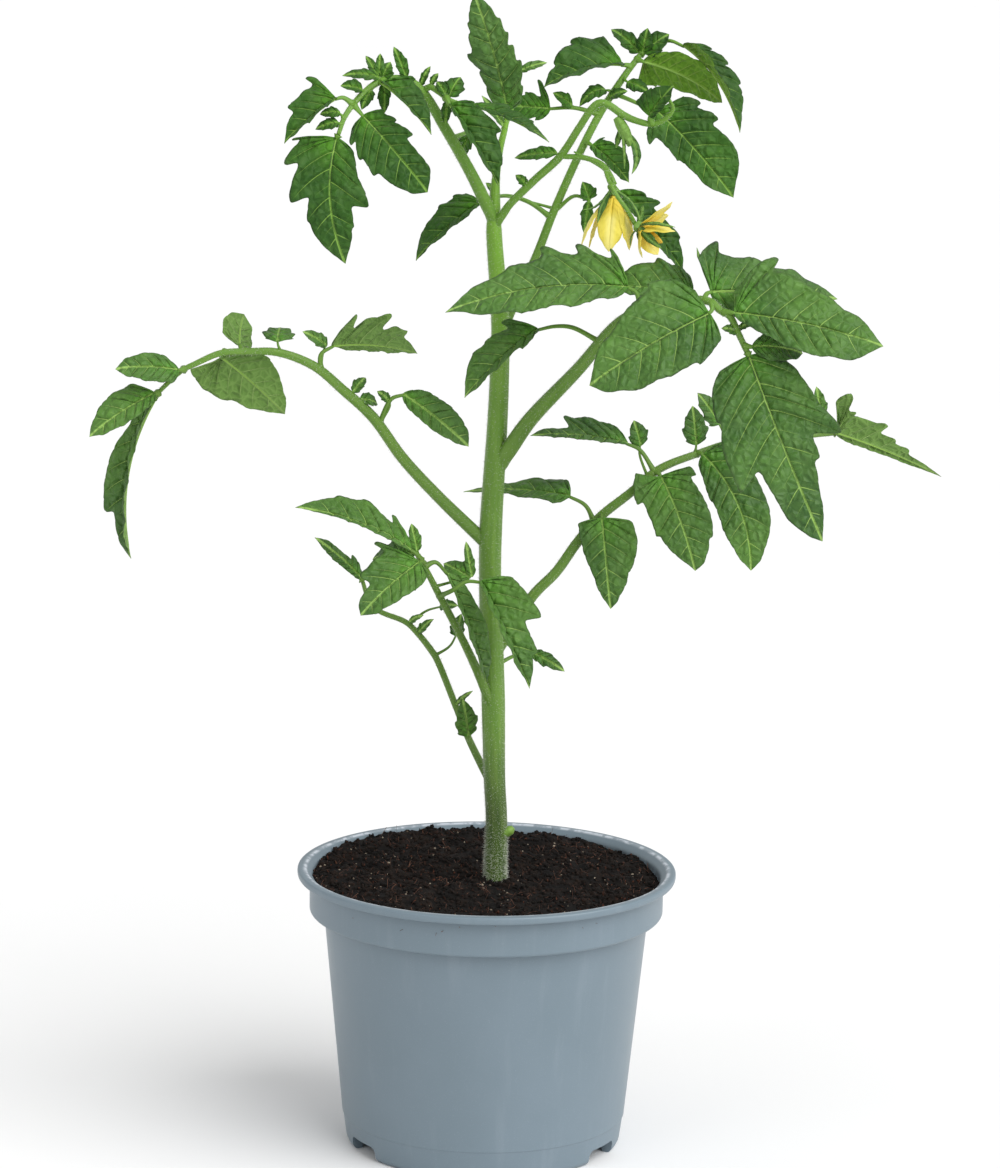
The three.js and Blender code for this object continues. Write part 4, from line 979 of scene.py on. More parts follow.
@dataclass
class MainStem:
    """The main stem with its top shoot, a side bud near the soil and its smallest leaflets."""

    route: Sequence[Point]
    top: Blade
    side_bud: Sequence[Point] = ((4.8, -4.7, 125.9, 1.2), (7.2, -5, 126.9, 1.9), (9, -5, 128.1, 2.0),
                                 (10.2, -5, 129.2, 0.9))
    bits: Sequence[Bit] = (
        Bit(0, (2.2, 4, 404.6), (-6.5, 2, 416.5), 4),
        Bit(0, (8, 10, 425.2), (18.5, 14, 428.5), 4),
        Bit(0, (16.5, 6, 197.5), (29.5, 4, 190.5), 6),
    )
    bit_stalks: Sequence[Sequence[Point]] = (
        (),
        ((2.4, 4, 403.5, 0.9), (5.5, 9, 412, 0.7), (8.6, 10.2, 425.5, 0.5)),
        ((1, -3, 193, 0.9), (10, 3, 196.8, 0.7), (17, 6, 197.3, 0.5)),
    )

    def build(self) -> None:
        """Builds the stem piece and the top leaflet."""
        shell = Shell()
        Route(self.route).tube(shell, 36, 1.4, seed=0.6, ridge=0.035)
        Route(self.side_bud).tube(shell, 16, 0.5, slot=2, ridge=0.06, seed=2)
        for number, (bit, stalk) in enumerate(zip(self.bits, self.bit_stalks)):
            if stalk:
                Route(stalk).tube(shell, 12, 0.9, flare=0.6)
            bit.blade(70 + number).build(shell, 1, 0)
        settle(shell.piece("main_stem_skin", [Finish.STEM, Finish.LEAF, Finish.RIB]), "stem_green", "main_stem")
        blade = Shell()
        self.top.seed = 5
        self.top.build(blade, 0, 1)
        settle(blade.piece("top_leaflet_blade", [Finish.LEAF, Finish.RIB]), "leaf_green", "top_leaflet")


# ---- flowers ----


def turned(profile: Sequence[Point], axis: Array, centre: Array, sides: int, ridges: int = 0,
           depth: float = 0.0) -> tuple[Array, list[tuple[int, ...]], Array]:
    """Returns a closed turned shape round an axis.

    Args:
        profile: rows of radius and height, which start and end on the axis.
        axis: the direction of its height.
        centre: the place of height 0.
        sides: points round each ring.
        ridges: number of lengthwise ridges.
        depth: depth of the ridges, as a share of the radius.

    Returns:
        Its points, its faces and its place map.
    """
    axis = unit(np.array(axis, float))
    first = unit(np.cross([0, 1, 0], axis))
    second = np.cross(axis, first)
    turn = np.linspace(0, 2 * np.pi, sides, endpoint=False)
    swell = 1 + depth * np.cos(ridges * turn)
    spin = np.cos(turn)[:, None] * first + np.sin(turn)[:, None] * second
    rings = [np.array(centre) + axis * z + spin * (r * swell)[:, None] for r, z in profile[1:-1]]
    ends = [np.array(centre) + axis * profile[0][1], np.array(centre) + axis * profile[-1][1]]
    heights = [z for _, z in profile[1:-1]]
    place = np.stack([np.tile(turn, len(rings)), np.repeat(heights, sides)], -1)
    place = np.vstack([place, [[0, profile[0][1]], [0, profile[-1][1]]]])
    return np.vstack([*rings, ends]), closed_rings(len(rings), sides), place


@dataclass
class Strap:
    """A petal or sepal: its base, its tip, its half width and how far it arches."""

    base: Point
    tip: Point
    half: float
    arch: float = 1.0
    bend: float = 0.0
    curl: float = 0.25


CUP = [(0, -1.4), (1.1, -1.3), (1.9, -0.6), (2.2, 0.3), (2.0, 1.2), (0, 1.4)]
COROLLA_TUBE = [(0, 1.2), (1.6, 1.3), (2.0, 1.9), (1.9, 3.0), (0, 3.2)]
ANTHERS = [(0, 3.1), (1.1, 3.1), (1.45, 4.2), (1.5, 6.0), (1.25, 8.6), (0.8, 10.6), (0.35, 11.6), (0, 11.8)]
PETAL_SHAPE = [(0.16, 0.7), (0.4, 1.0), (0.66, 0.86), (0.86, 0.42)]
SEPAL_SHAPE = [(0.15, 0.85), (0.45, 1.0), (0.75, 0.6)]


@dataclass
class Flower:
    """An open flower: a green calyx, pointed petals and a cone of anthers."""

    name: str
    centre: Point
    axis: Point
    petals: Sequence[Strap]
    sepals: Sequence[Strap]
    seed: int = 0

    def straps(self, shell: Shell, straps: Sequence[Strap], petal: bool) -> None:
        """Adds petals or sepals, each with its outer face turned away from the flower's axis."""
        forward = unit(np.array(self.axis, float))
        for number, strap in enumerate(straps):
            base, tip = np.array(strap.base, float), np.array(strap.tip, float)
            middle = (base + tip) / 2 - np.array(self.centre)
            outward = middle - forward * (middle @ forward) - forward * 2
            side = [(place, strap.half * share) for place, share in (PETAL_SHAPE if petal else SEPAL_SHAPE)]
            Blade(base, tip, outward, side, side, arch=strap.arch, bend=strap.bend, quilt=0.5, curl=strap.curl,
                  teeth=0.12, thick=0.26, neck=1.0 if petal else 0.5, rib=0.26, rows=44, columns=8,
                  seed=number + self.seed).build(shell)

    def build(self) -> None:
        """Builds the calyx, the petals and the anthers."""
        calyx, corolla, cone = Shell(), Shell(), Shell()
        calyx.add(*turned(CUP, self.axis, self.centre, 30, 5, 0.08))
        self.straps(calyx, self.sepals, False)
        corolla.add(*turned(COROLLA_TUBE, self.axis, self.centre, 30, 5, 0.08))
        self.straps(corolla, self.petals, True)
        cone.add(*turned(ANTHERS, self.axis, self.centre, 48, 6, 0.1))
        settle(calyx.piece(self.name + "_calyx_leaves", [Finish.SEPAL]), "sepal_green", self.name + "_calyx")
        settle(corolla.piece(self.name + "_petals", [Finish.PETAL]), "petal_yellow", self.name + "_corolla")
        settle(cone.piece(self.name + "_anthers", [Finish.ANTHER]), "anther_yellow", self.name + "_anther_cone")


BUD_SEPAL_SHAPE = [(0.25, 0.85), (0.5, 1.0), (0.78, 0.55)]


@dataclass
class Bud:
    """A closed flower bud with long sepals that hang below it: base, tip, face, half width and bend of each."""

    body: Sequence[Point] = ((45.0, -21.2, 411.0, 1.5), (46.4, -21.8, 408.8, 2.1), (48.0, -22.2, 406.0, 2.3),
                             (49.4, -22.5, 403.0, 1.9), (50.4, -22.8, 400.4, 1.0))
    sepals: Sequence[tuple[Point, Point, Point, float, float]] = (
        ((49.3, -23.0, 405), (51.0, -23.4, 389.8), (0.3, -1, 0.2), 1.7, -2.4),
        ((46.6, -22.4, 409), (48.2, -22.4, 391.5), (-0.3, -1, 0.2), 0.7, -0.8),
        ((46.6, -20.6, 407), (45.0, -17, 399), (0, -1, 0.2), 1.2, 0),
    )

    def build(self) -> None:
        """Builds the bud."""
        shell = Shell()
        Route(self.body).tube(shell, 24, 0.8, ridge=0.08, seed=3)
        for number, (base, tip, face, half, bend) in enumerate(self.sepals):
            side = [(place, half * share) for place, share in BUD_SEPAL_SHAPE]
            Blade(base, tip, face, side, side, arch=1, bend=bend, thick=0.3, neck=0.6, rib=0.3, rows=30, columns=6,
                  quilt=0.4, seed=number).build(shell)
        settle(shell.piece("flower_bud_leaves", [Finish.SEPAL]), "sepal_green", "flower_bud")


# ---- the pot and the soil ----


def rounded(corners: Sequence[Point], fine: int = 4) -> list[tuple[float, float]]:
    """Returns a profile whose corners, given as radius, height and rounding, are rounded."""
    out: list[tuple[float, float]] = []
    for i, (r, z, size) in enumerate(corners):
        if i in (0, len(corners) - 1) or size <= 0:
            out.append((r, z))
            continue
        here = np.array([r, z])
        before, after = np.array(corners[i - 1][:2]) - here, np.array(corners[i + 1][:2]) - here
        a = here + before / np.linalg.norm(before) * min(size, np.linalg.norm(before) * 0.45)
        b = here + after / np.linalg.norm(after) * min(size, np.linalg.norm(after) * 0.45)
        for t in np.linspace(0, 1, fine):
            p = (1 - t) ** 2 * a + 2 * t * (1 - t) * here + t * t * b
            out.append((float(p[0]), float(p[1])))
    return out


@dataclass
class Pot:
    """A round nursery pot with a rolled rim, a collar and three feet."""

    sides: int = 168
    notch_width: float = 18.5
    notch_height: float = 5.9
    notch_corner: float = 2.5
    notch_depths: tuple[float, float] = (-46.4, -60.4)
    turns: tuple[int, ...] = (60, 180, 300)
    drain_radius: float = 4.0
    drain_ring: float = 33.0
    drain_count: int = 6
    crease: float = 38.0

    @staticmethod
    def profile() -> list[tuple[float, float]]:
        """Returns the wall's section, from the middle of the underside round to the inside."""
        return rounded([
            (0, 0, 0), (17, 0, 0.8), (21, 6.5, 1.5), (49.7, 6.5, 0.8), (50.5, 0, 0.4), (53.2, 0, 0.7), (54.6, 1.5, 1),
            (56.0, 11.4, 0.3), (56.35, 11.8, 0.2), (64.4, 94, 0.5), (69.4, 94, 0.6), (70.1, 94.9, 0.5),
            (70.1, 108.2, 0.4), (74.6, 108.2, 0.8), (75, 109.2, 0.8), (75, 111.0, 0.9), (74.1, 111.4, 0.5),
            (71.9, 111.4, 0.5), (68.8, 108.8, 1.2), (68.8, 95.3, 0.6), (63.1, 95.2, 0.6), (54.9, 12, 1),
            (53.2, 8, 1), (21.6, 8, 1.5), (17.4, 1.6, 1), (0, 1.6, 0),
        ])

    def cutter(self) -> bpy.types.Object:
        """Returns the spaces between the feet and the drain holes, as one object."""
        shell = Shell()
        half, corner = self.notch_width / 2, self.notch_corner
        outline = [(-half, -3.0), (half, -3.0)]
        for middle, start in ((half - corner, 0), (corner - half, 90)):
            for angle in range(start, start + 91, 15):
                a = math.radians(angle)
                outline.append((middle + corner * math.cos(a), self.notch_height - corner + corner * math.sin(a)))
        for turn in self.turns:
            spin = Matrix.Rotation(math.radians(turn), 3, "Z")
            points = np.array([spin @ Vector((x, y, z)) for y in self.notch_depths for x, z in outline])
            n = len(outline)
            sides = [(k, (k + 1) % n, (k + 1) % n + n, k + n) for k in range(n)]
            shell.add(points, [tuple(range(n))[::-1], tuple(range(n, 2 * n)), *sides])
        drill = [(0, 3.5), (self.drain_radius, 3.5), (self.drain_radius, 11), (0, 11)]
        for hole in range(self.drain_count):
            a = math.radians(hole * 360 / self.drain_count)
            centre = np.array([math.sin(a), -math.cos(a), 0]) * self.drain_ring
            shell.add(*turned(drill, (0, 0, 1), centre, 32)[:2])
        return shell.piece("pot_cutter", [Finish.POT])

    def build(self) -> None:
        """Builds the pot."""
        shell = Shell()
        shell.add(*turned(self.profile(), (0, 0, 1), np.zeros(3), self.sides))
        piece = shell.piece("nursery_pot", [Finish.POT])
        cutter = self.cutter()
        for made in (piece, cutter):
            recalculate(made)
        cut = piece.modifiers.new("feet", "BOOLEAN")
        cut.operation = "DIFFERENCE"
        cut.solver = "EXACT"
        cut.object = cutter
        applied(piece)
        bpy.data.objects.remove(cutter)
        piece.data.set_sharp_from_angle(angle=math.radians(self.crease))
        settle(piece, "pot_plastic", "pot")


def recalculate(piece: bpy.types.Object) -> None:
    """Turns a closed piece's faces outwards."""
    work = bmesh.new()
    work.from_mesh(piece.data)
    bmesh.ops.remove_doubles(work, verts=work.verts, dist=WELD)
    bmesh.ops.recalc_face_normals(work, faces=work.faces)
    work.to_mesh(piece.data)
    work.free()


def applied(piece: bpy.types.Object) -> None:
    """Replaces a piece's mesh by its evaluated result and removes its modifiers."""
    bpy.context.view_layer.update()
    graph = bpy.context.evaluated_depsgraph_get()
    made = bpy.data.meshes.new_from_object(piece.evaluated_get(graph), preserve_all_data_layers=True, depsgraph=graph)
    piece.modifiers.clear()
    piece.data = made


@dataclass
class Soil:
    """Peat that fills the pot, lumpy on top and heaped a little round the stem.

    Its top falls to the right and rises to the back by the amounts given, over the pot's radius.
    """

    level: float = 107.0
    sink: float = 0.4
    fall: float = 1.3
    rise: float = 3.0
    radius: float = 68.6
    heap: float = 12.0
    rings: int = 66
    sides: int = 210

    def height(self, x: float, y: float) -> float:
        """Returns the surface height at a place."""
        away = math.hypot(x - MAIN_ROUTE[1][0], y - MAIN_ROUTE[1][1])
        broad = math.sin(x * 0.21 + 1) * math.cos(y * 0.17) + math.sin(x * 0.09 - y * 0.13)
        lumps = noise.fractal(Vector((x * 0.11, y * 0.11, 1.7)), 0.6, 2.0, 5)
        crust = abs(noise.noise(Vector((x * 0.45, y * 0.45, 4.2)))) * 0.9
        slope = self.rise * max(0.0, y) / self.radius - self.fall * x / 70.1
        return self.level + slope + 0.5 * broad + math.exp(-away / self.heap) + lumps + crust - self.sink

    def build(self) -> bpy.types.Object:
        """Builds the soil and returns it."""
        side = rounded([(0, 2.0, 0), (16.8, 2.0, 0.5), (21.2, 8.2, 0.5), (52.8, 8.2, 0.5), (54.6, 12, 0.5),
                        (62.8, 95.6, 0.3), (68.5, 95.6, 0.3), (self.radius, 100, 0)], 3)
        top_rows = [(self.radius * t, self.level) for t in np.linspace(1, 0.012, self.rings)]
        points, faces, place = turned([*side, *top_rows, (0, self.level)], (0, 0, 1), np.zeros(3), self.sides)
        top = points[:, 2] > self.level - 0.001
        points[top, 2] = [self.height(x, y) for x, y in points[top, :2]]
        shell = Shell()
        shell.add(points, faces, place)
        piece = shell.piece("peat_bed", [Finish.SOIL])
        recalculate(piece)
        return settle(piece, "peat_soil", "potting_soil")


# ---- what grows or lies all over a surface ----


class Grain(Enum):
    """The small shapes that are scattered."""

    HAIR = "hair"
    CRUMB = "crumb"
    FIBRE = "fibre"


@dataclass
class Scatter:
    """Small shapes over a surface, placed by a Geometry Nodes tree, in metres.

    The band is two heights and the share of the density at each, with a straight change between them.
    """

    name: str
    grain: Grain
    finish: Finish
    density: float
    length: float
    sizes: tuple[float, float]
    tilt: float
    seed: int
    band: tuple[float, float, float, float] = (0.103, 0.1035, 0.0, 1.0)
    thick: float = 0.0
    slot: str = "peat_soil"

    def plot(self) -> bpy.types.NodeTree:
        """Builds the tree, with its sizes as named inputs."""
        tree = bpy.data.node_groups.new(self.name + "_plot", "GeometryNodeTree")
        face = tree.interface
        face.new_socket("Surface", in_out="INPUT", socket_type="NodeSocketGeometry")
        for title in ("Density", "Length", "Thickness"):
            face.new_socket(title, in_out="INPUT", socket_type="NodeSocketFloat")
        face.new_socket("Shapes", in_out="OUTPUT", socket_type="NodeSocketGeometry")

        node = Plot(tree).node
        given = node("NodeGroupInput").outputs
        height = node("ShaderNodeSeparateXYZ", Vector=node("GeometryNodeInputPosition").outputs[0]).outputs[2]
        low, high, at_low, at_high = self.band
        share = node("ShaderNodeMapRange", {"clamp": True}, Value=height, From_Min=low, From_Max=high,
                     To_Min=at_low, To_Max=at_high).outputs["Result"]
        dense = node("ShaderNodeMath", {"operation": "MULTIPLY"}, i0=given["Density"], i1=share).outputs[0]
        spots = node("GeometryNodeDistributePointsOnFaces", {"distribute_method": "RANDOM"}, Mesh=given["Surface"],
                     Density=dense, Seed=self.seed)
        shape = self.shape(node, given)
        lean = node("FunctionNodeRandomValue", {"data_type": "FLOAT_VECTOR"}, i0=(-self.tilt, -self.tilt, -3.14),
                    i1=(self.tilt, self.tilt, 3.14), Seed=self.seed + 1).outputs[0]
        turn = node("FunctionNodeRotateRotation", {"rotation_space": "LOCAL"}, i0=spots.outputs["Rotation"],
                    i1=lean).outputs[0]
        size = node("FunctionNodeRandomValue", {"data_type": "FLOAT_VECTOR"}, i0=(self.sizes[0],) * 3,
                    i1=(self.sizes[1],) * 3, Seed=self.seed + 2).outputs[0]
        placed = node("GeometryNodeInstanceOnPoints", Points=spots.outputs["Points"], Instance=shape, Rotation=turn,
                      Scale=size).outputs[0]
        real = node("GeometryNodeRealizeInstances", Geometry=placed).outputs[0]
        worn = node("GeometryNodeSetMaterial", Geometry=real, Material=WARDROBE[self.finish]).outputs[0]
        smooth = node("GeometryNodeSetShadeSmooth", Geometry=worn).outputs[0]
        node("NodeGroupOutput", i0=smooth)
        return tree

    def shape(self, node: Callable[..., Any], given: Any) -> Any:
        """Returns the socket of the shape that is scattered."""
        if self.grain is Grain.HAIR:
            return node("GeometryNodeMeshCone", {"fill_type": "NGON"}, Vertices=3, Side_Segments=1,
                        Radius_Top=0.0, Radius_Bottom=given["Thickness"], Depth=given["Length"]).outputs[0]
        if self.grain is Grain.FIBRE:
            stick = node("GeometryNodeMeshCylinder", {"fill_type": "NGON"}, Vertices=4, Side_Segments=4,
                         Radius=given["Thickness"], Depth=given["Length"]).outputs[0]
            place = node("GeometryNodeInputPosition").outputs[0]
            z = node("ShaderNodeSeparateXYZ", Vector=place).outputs[2]
            bow = node("ShaderNodeMath", {"operation": "MULTIPLY"}, i0=z, i1=z).outputs[0]
            bow = node("ShaderNodeMath", {"operation": "MULTIPLY"}, i0=bow, i1=90.0).outputs[0]
            move = node("ShaderNodeCombineXYZ", X=bow).outputs[0]
            return node("GeometryNodeSetPosition", Geometry=stick, Offset=move).outputs[0]
        ball = node("GeometryNodeMeshIcoSphere", Radius=given["Length"], Subdivisions=2).outputs[0]
        rough = node("ShaderNodeTexNoise", {"noise_dimensions": "3D"}, Scale=1.2 / self.length, Detail=2.0).outputs[1]
        away = node("ShaderNodeVectorMath", {"operation": "SUBTRACT"}, i0=rough, i1=(0.5, 0.5, 0.5)).outputs[0]
        push = node("ShaderNodeVectorMath", {"operation": "SCALE"}, i0=away, Scale=self.length * 1.5).outputs[0]
        return node("GeometryNodeSetPosition", Geometry=ball, Offset=push).outputs[0]

    def over(self, surface: bpy.types.Mesh) -> bpy.types.Object:
        """Scatters the shapes over a mesh and returns them as one settled piece."""
        piece = bpy.data.objects.new(self.name, surface.copy())
        bpy.context.scene.collection.objects.link(piece)
        grow = piece.modifiers.new("grow", "NODES")
        grow.node_group = self.plot()
        given = {"Density": self.density, "Length": self.length, "Thickness": self.thick}
        for item in grow.node_group.interface.items_tree:
            if item.in_out == "INPUT" and item.name in given:
                grow[item.identifier] = given[item.name]
        applied(piece)
        return settle(piece, self.slot)


# ---- the studio ----


@dataclass
class Studio:
    """A pale floor, soft lights and the camera at the photograph's place."""

    eye: Point = (3.5, -1700.0, 560.8)
    aim: Point = (3.5, 0.0, 226.0)
    roll: float = 0.9
    lens: float = 136.36
    floor_size: float = 40.0
    sky: float = 0.62
    sun: float = 2.7
    sun_angle: float = 60.0
    sun_way: Point = (-0.75, 0.62, -0.8)
    fill_place: Point = (-1.4, -1.5, 1.3)
    fill_size: float = 1.2
    fill_power: float = 5.0

    def camera(self) -> None:
        """Adds the camera."""
        eye = Vector(self.eye) * MM
        ahead = (Vector(self.aim) * MM - eye).normalized()
        right = ahead.cross(Vector((0, 0, 1))).normalized()
        up = right.cross(ahead)
        c, s = math.cos(math.radians(self.roll)), math.sin(math.radians(self.roll))
        right, up = c * right + s * up, c * up - s * right
        data = bpy.data.cameras.new("photo_camera")
        data.sensor_fit = "AUTO"
        data.sensor_width = 36.0
        data.lens = self.lens
        data.clip_end = 100.0
        data.dof.use_dof = False
        made = bpy.data.objects.new("photo_camera", data)
        made.matrix_world = Matrix((
            (right.x, up.x, -ahead.x, eye.x), (right.y, up.y, -ahead.y, eye.y),
            (right.z, up.z, -ahead.z, eye.z), (0, 0, 0, 1)))
        bpy.context.scene.collection.objects.link(made)
        bpy.context.scene.camera = made

    def lights(self) -> None:
        """Adds the plain white sky, one wide sun and a soft fill from the left."""
        world = bpy.data.worlds.new("studio")
        world.use_nodes = True
        world.node_tree.nodes["Background"].inputs["Color"].default_value = (1, 1, 1, 1)
        world.node_tree.nodes["Background"].inputs["Strength"].default_value = self.sky
        bpy.context.scene.world = world
        sun = bpy.data.lights.new("key", "SUN")
        sun.energy = self.sun
        sun.angle = math.radians(self.sun_angle)
        key = bpy.data.objects.new("key", sun)
        key.rotation_euler = Vector(self.sun_way).to_track_quat("-Z", "Y").to_euler()
        soft = bpy.data.lights.new("left_fill", "AREA")
        soft.size = self.fill_size
        soft.energy = self.fill_power
        fill = bpy.data.objects.new("left_fill", soft)
        fill.location = self.fill_place
        middle = Vector((0, 0, 0.25))
        fill.rotation_euler = (middle - Vector(self.fill_place)).to_track_quat("-Z", "Y").to_euler()
        for made in (key, fill):
            bpy.context.scene.collection.objects.link(made)

    def paper(self) -> None:
        """Adds the pale paper that the pot stands on."""
        e = self.floor_size
        mesh = bpy.data.meshes.new("floor")
        mesh.from_pydata([(-e, -e, 0), (e, -e, 0), (e, e, 0), (-e, e, 0)], [], [(0, 1, 2, 3)])
        r = Recipe("floor_paper")
        paper = r.mix(r.cloud(3.0, 2.0), (0.86, 0.86, 0.86), (0.9, 0.9, 0.9))
        mesh.materials.append(r.finish(Base_Color=paper, Roughness=0.9, Specular_IOR_Level=0.1))
        floor = bpy.data.objects.new("floor", mesh)
        bpy.context.scene.collection.objects.link(floor)

    def build(self) -> None:
        """Adds the floor, the lights and the camera."""
        self.paper()
        self.lights()
        self.camera()
        bpy.context.scene.view_settings.view_transform = "Standard"


# ---- the plant's plan ----

MAIN_ROUTE = [(4, -4, 97, 4.4), (3.5, -4, 106, 4.3), (3.5, -4, 132, 4.2), (2.5, -4, 148, 4.2),
    (1.5, -4, 180.5, 4.6), (0.5, -3, 204, 4.5), (-0.5, -3, 230, 4.3), (-0.5, -3, 248, 4.4), (1.5, -2, 291.5, 3.9),
    (2, -2, 311, 3.7), (2, -2, 328.5, 3.5), (-1, -1, 365, 3), (-1, 0, 373, 2.4), (-0.5, 2, 385.5, 1.5),
    (1, 3, 397, 1.3), (2.5, 4, 403.5, 1.2), (3.5, 5, 409.8, 1)]

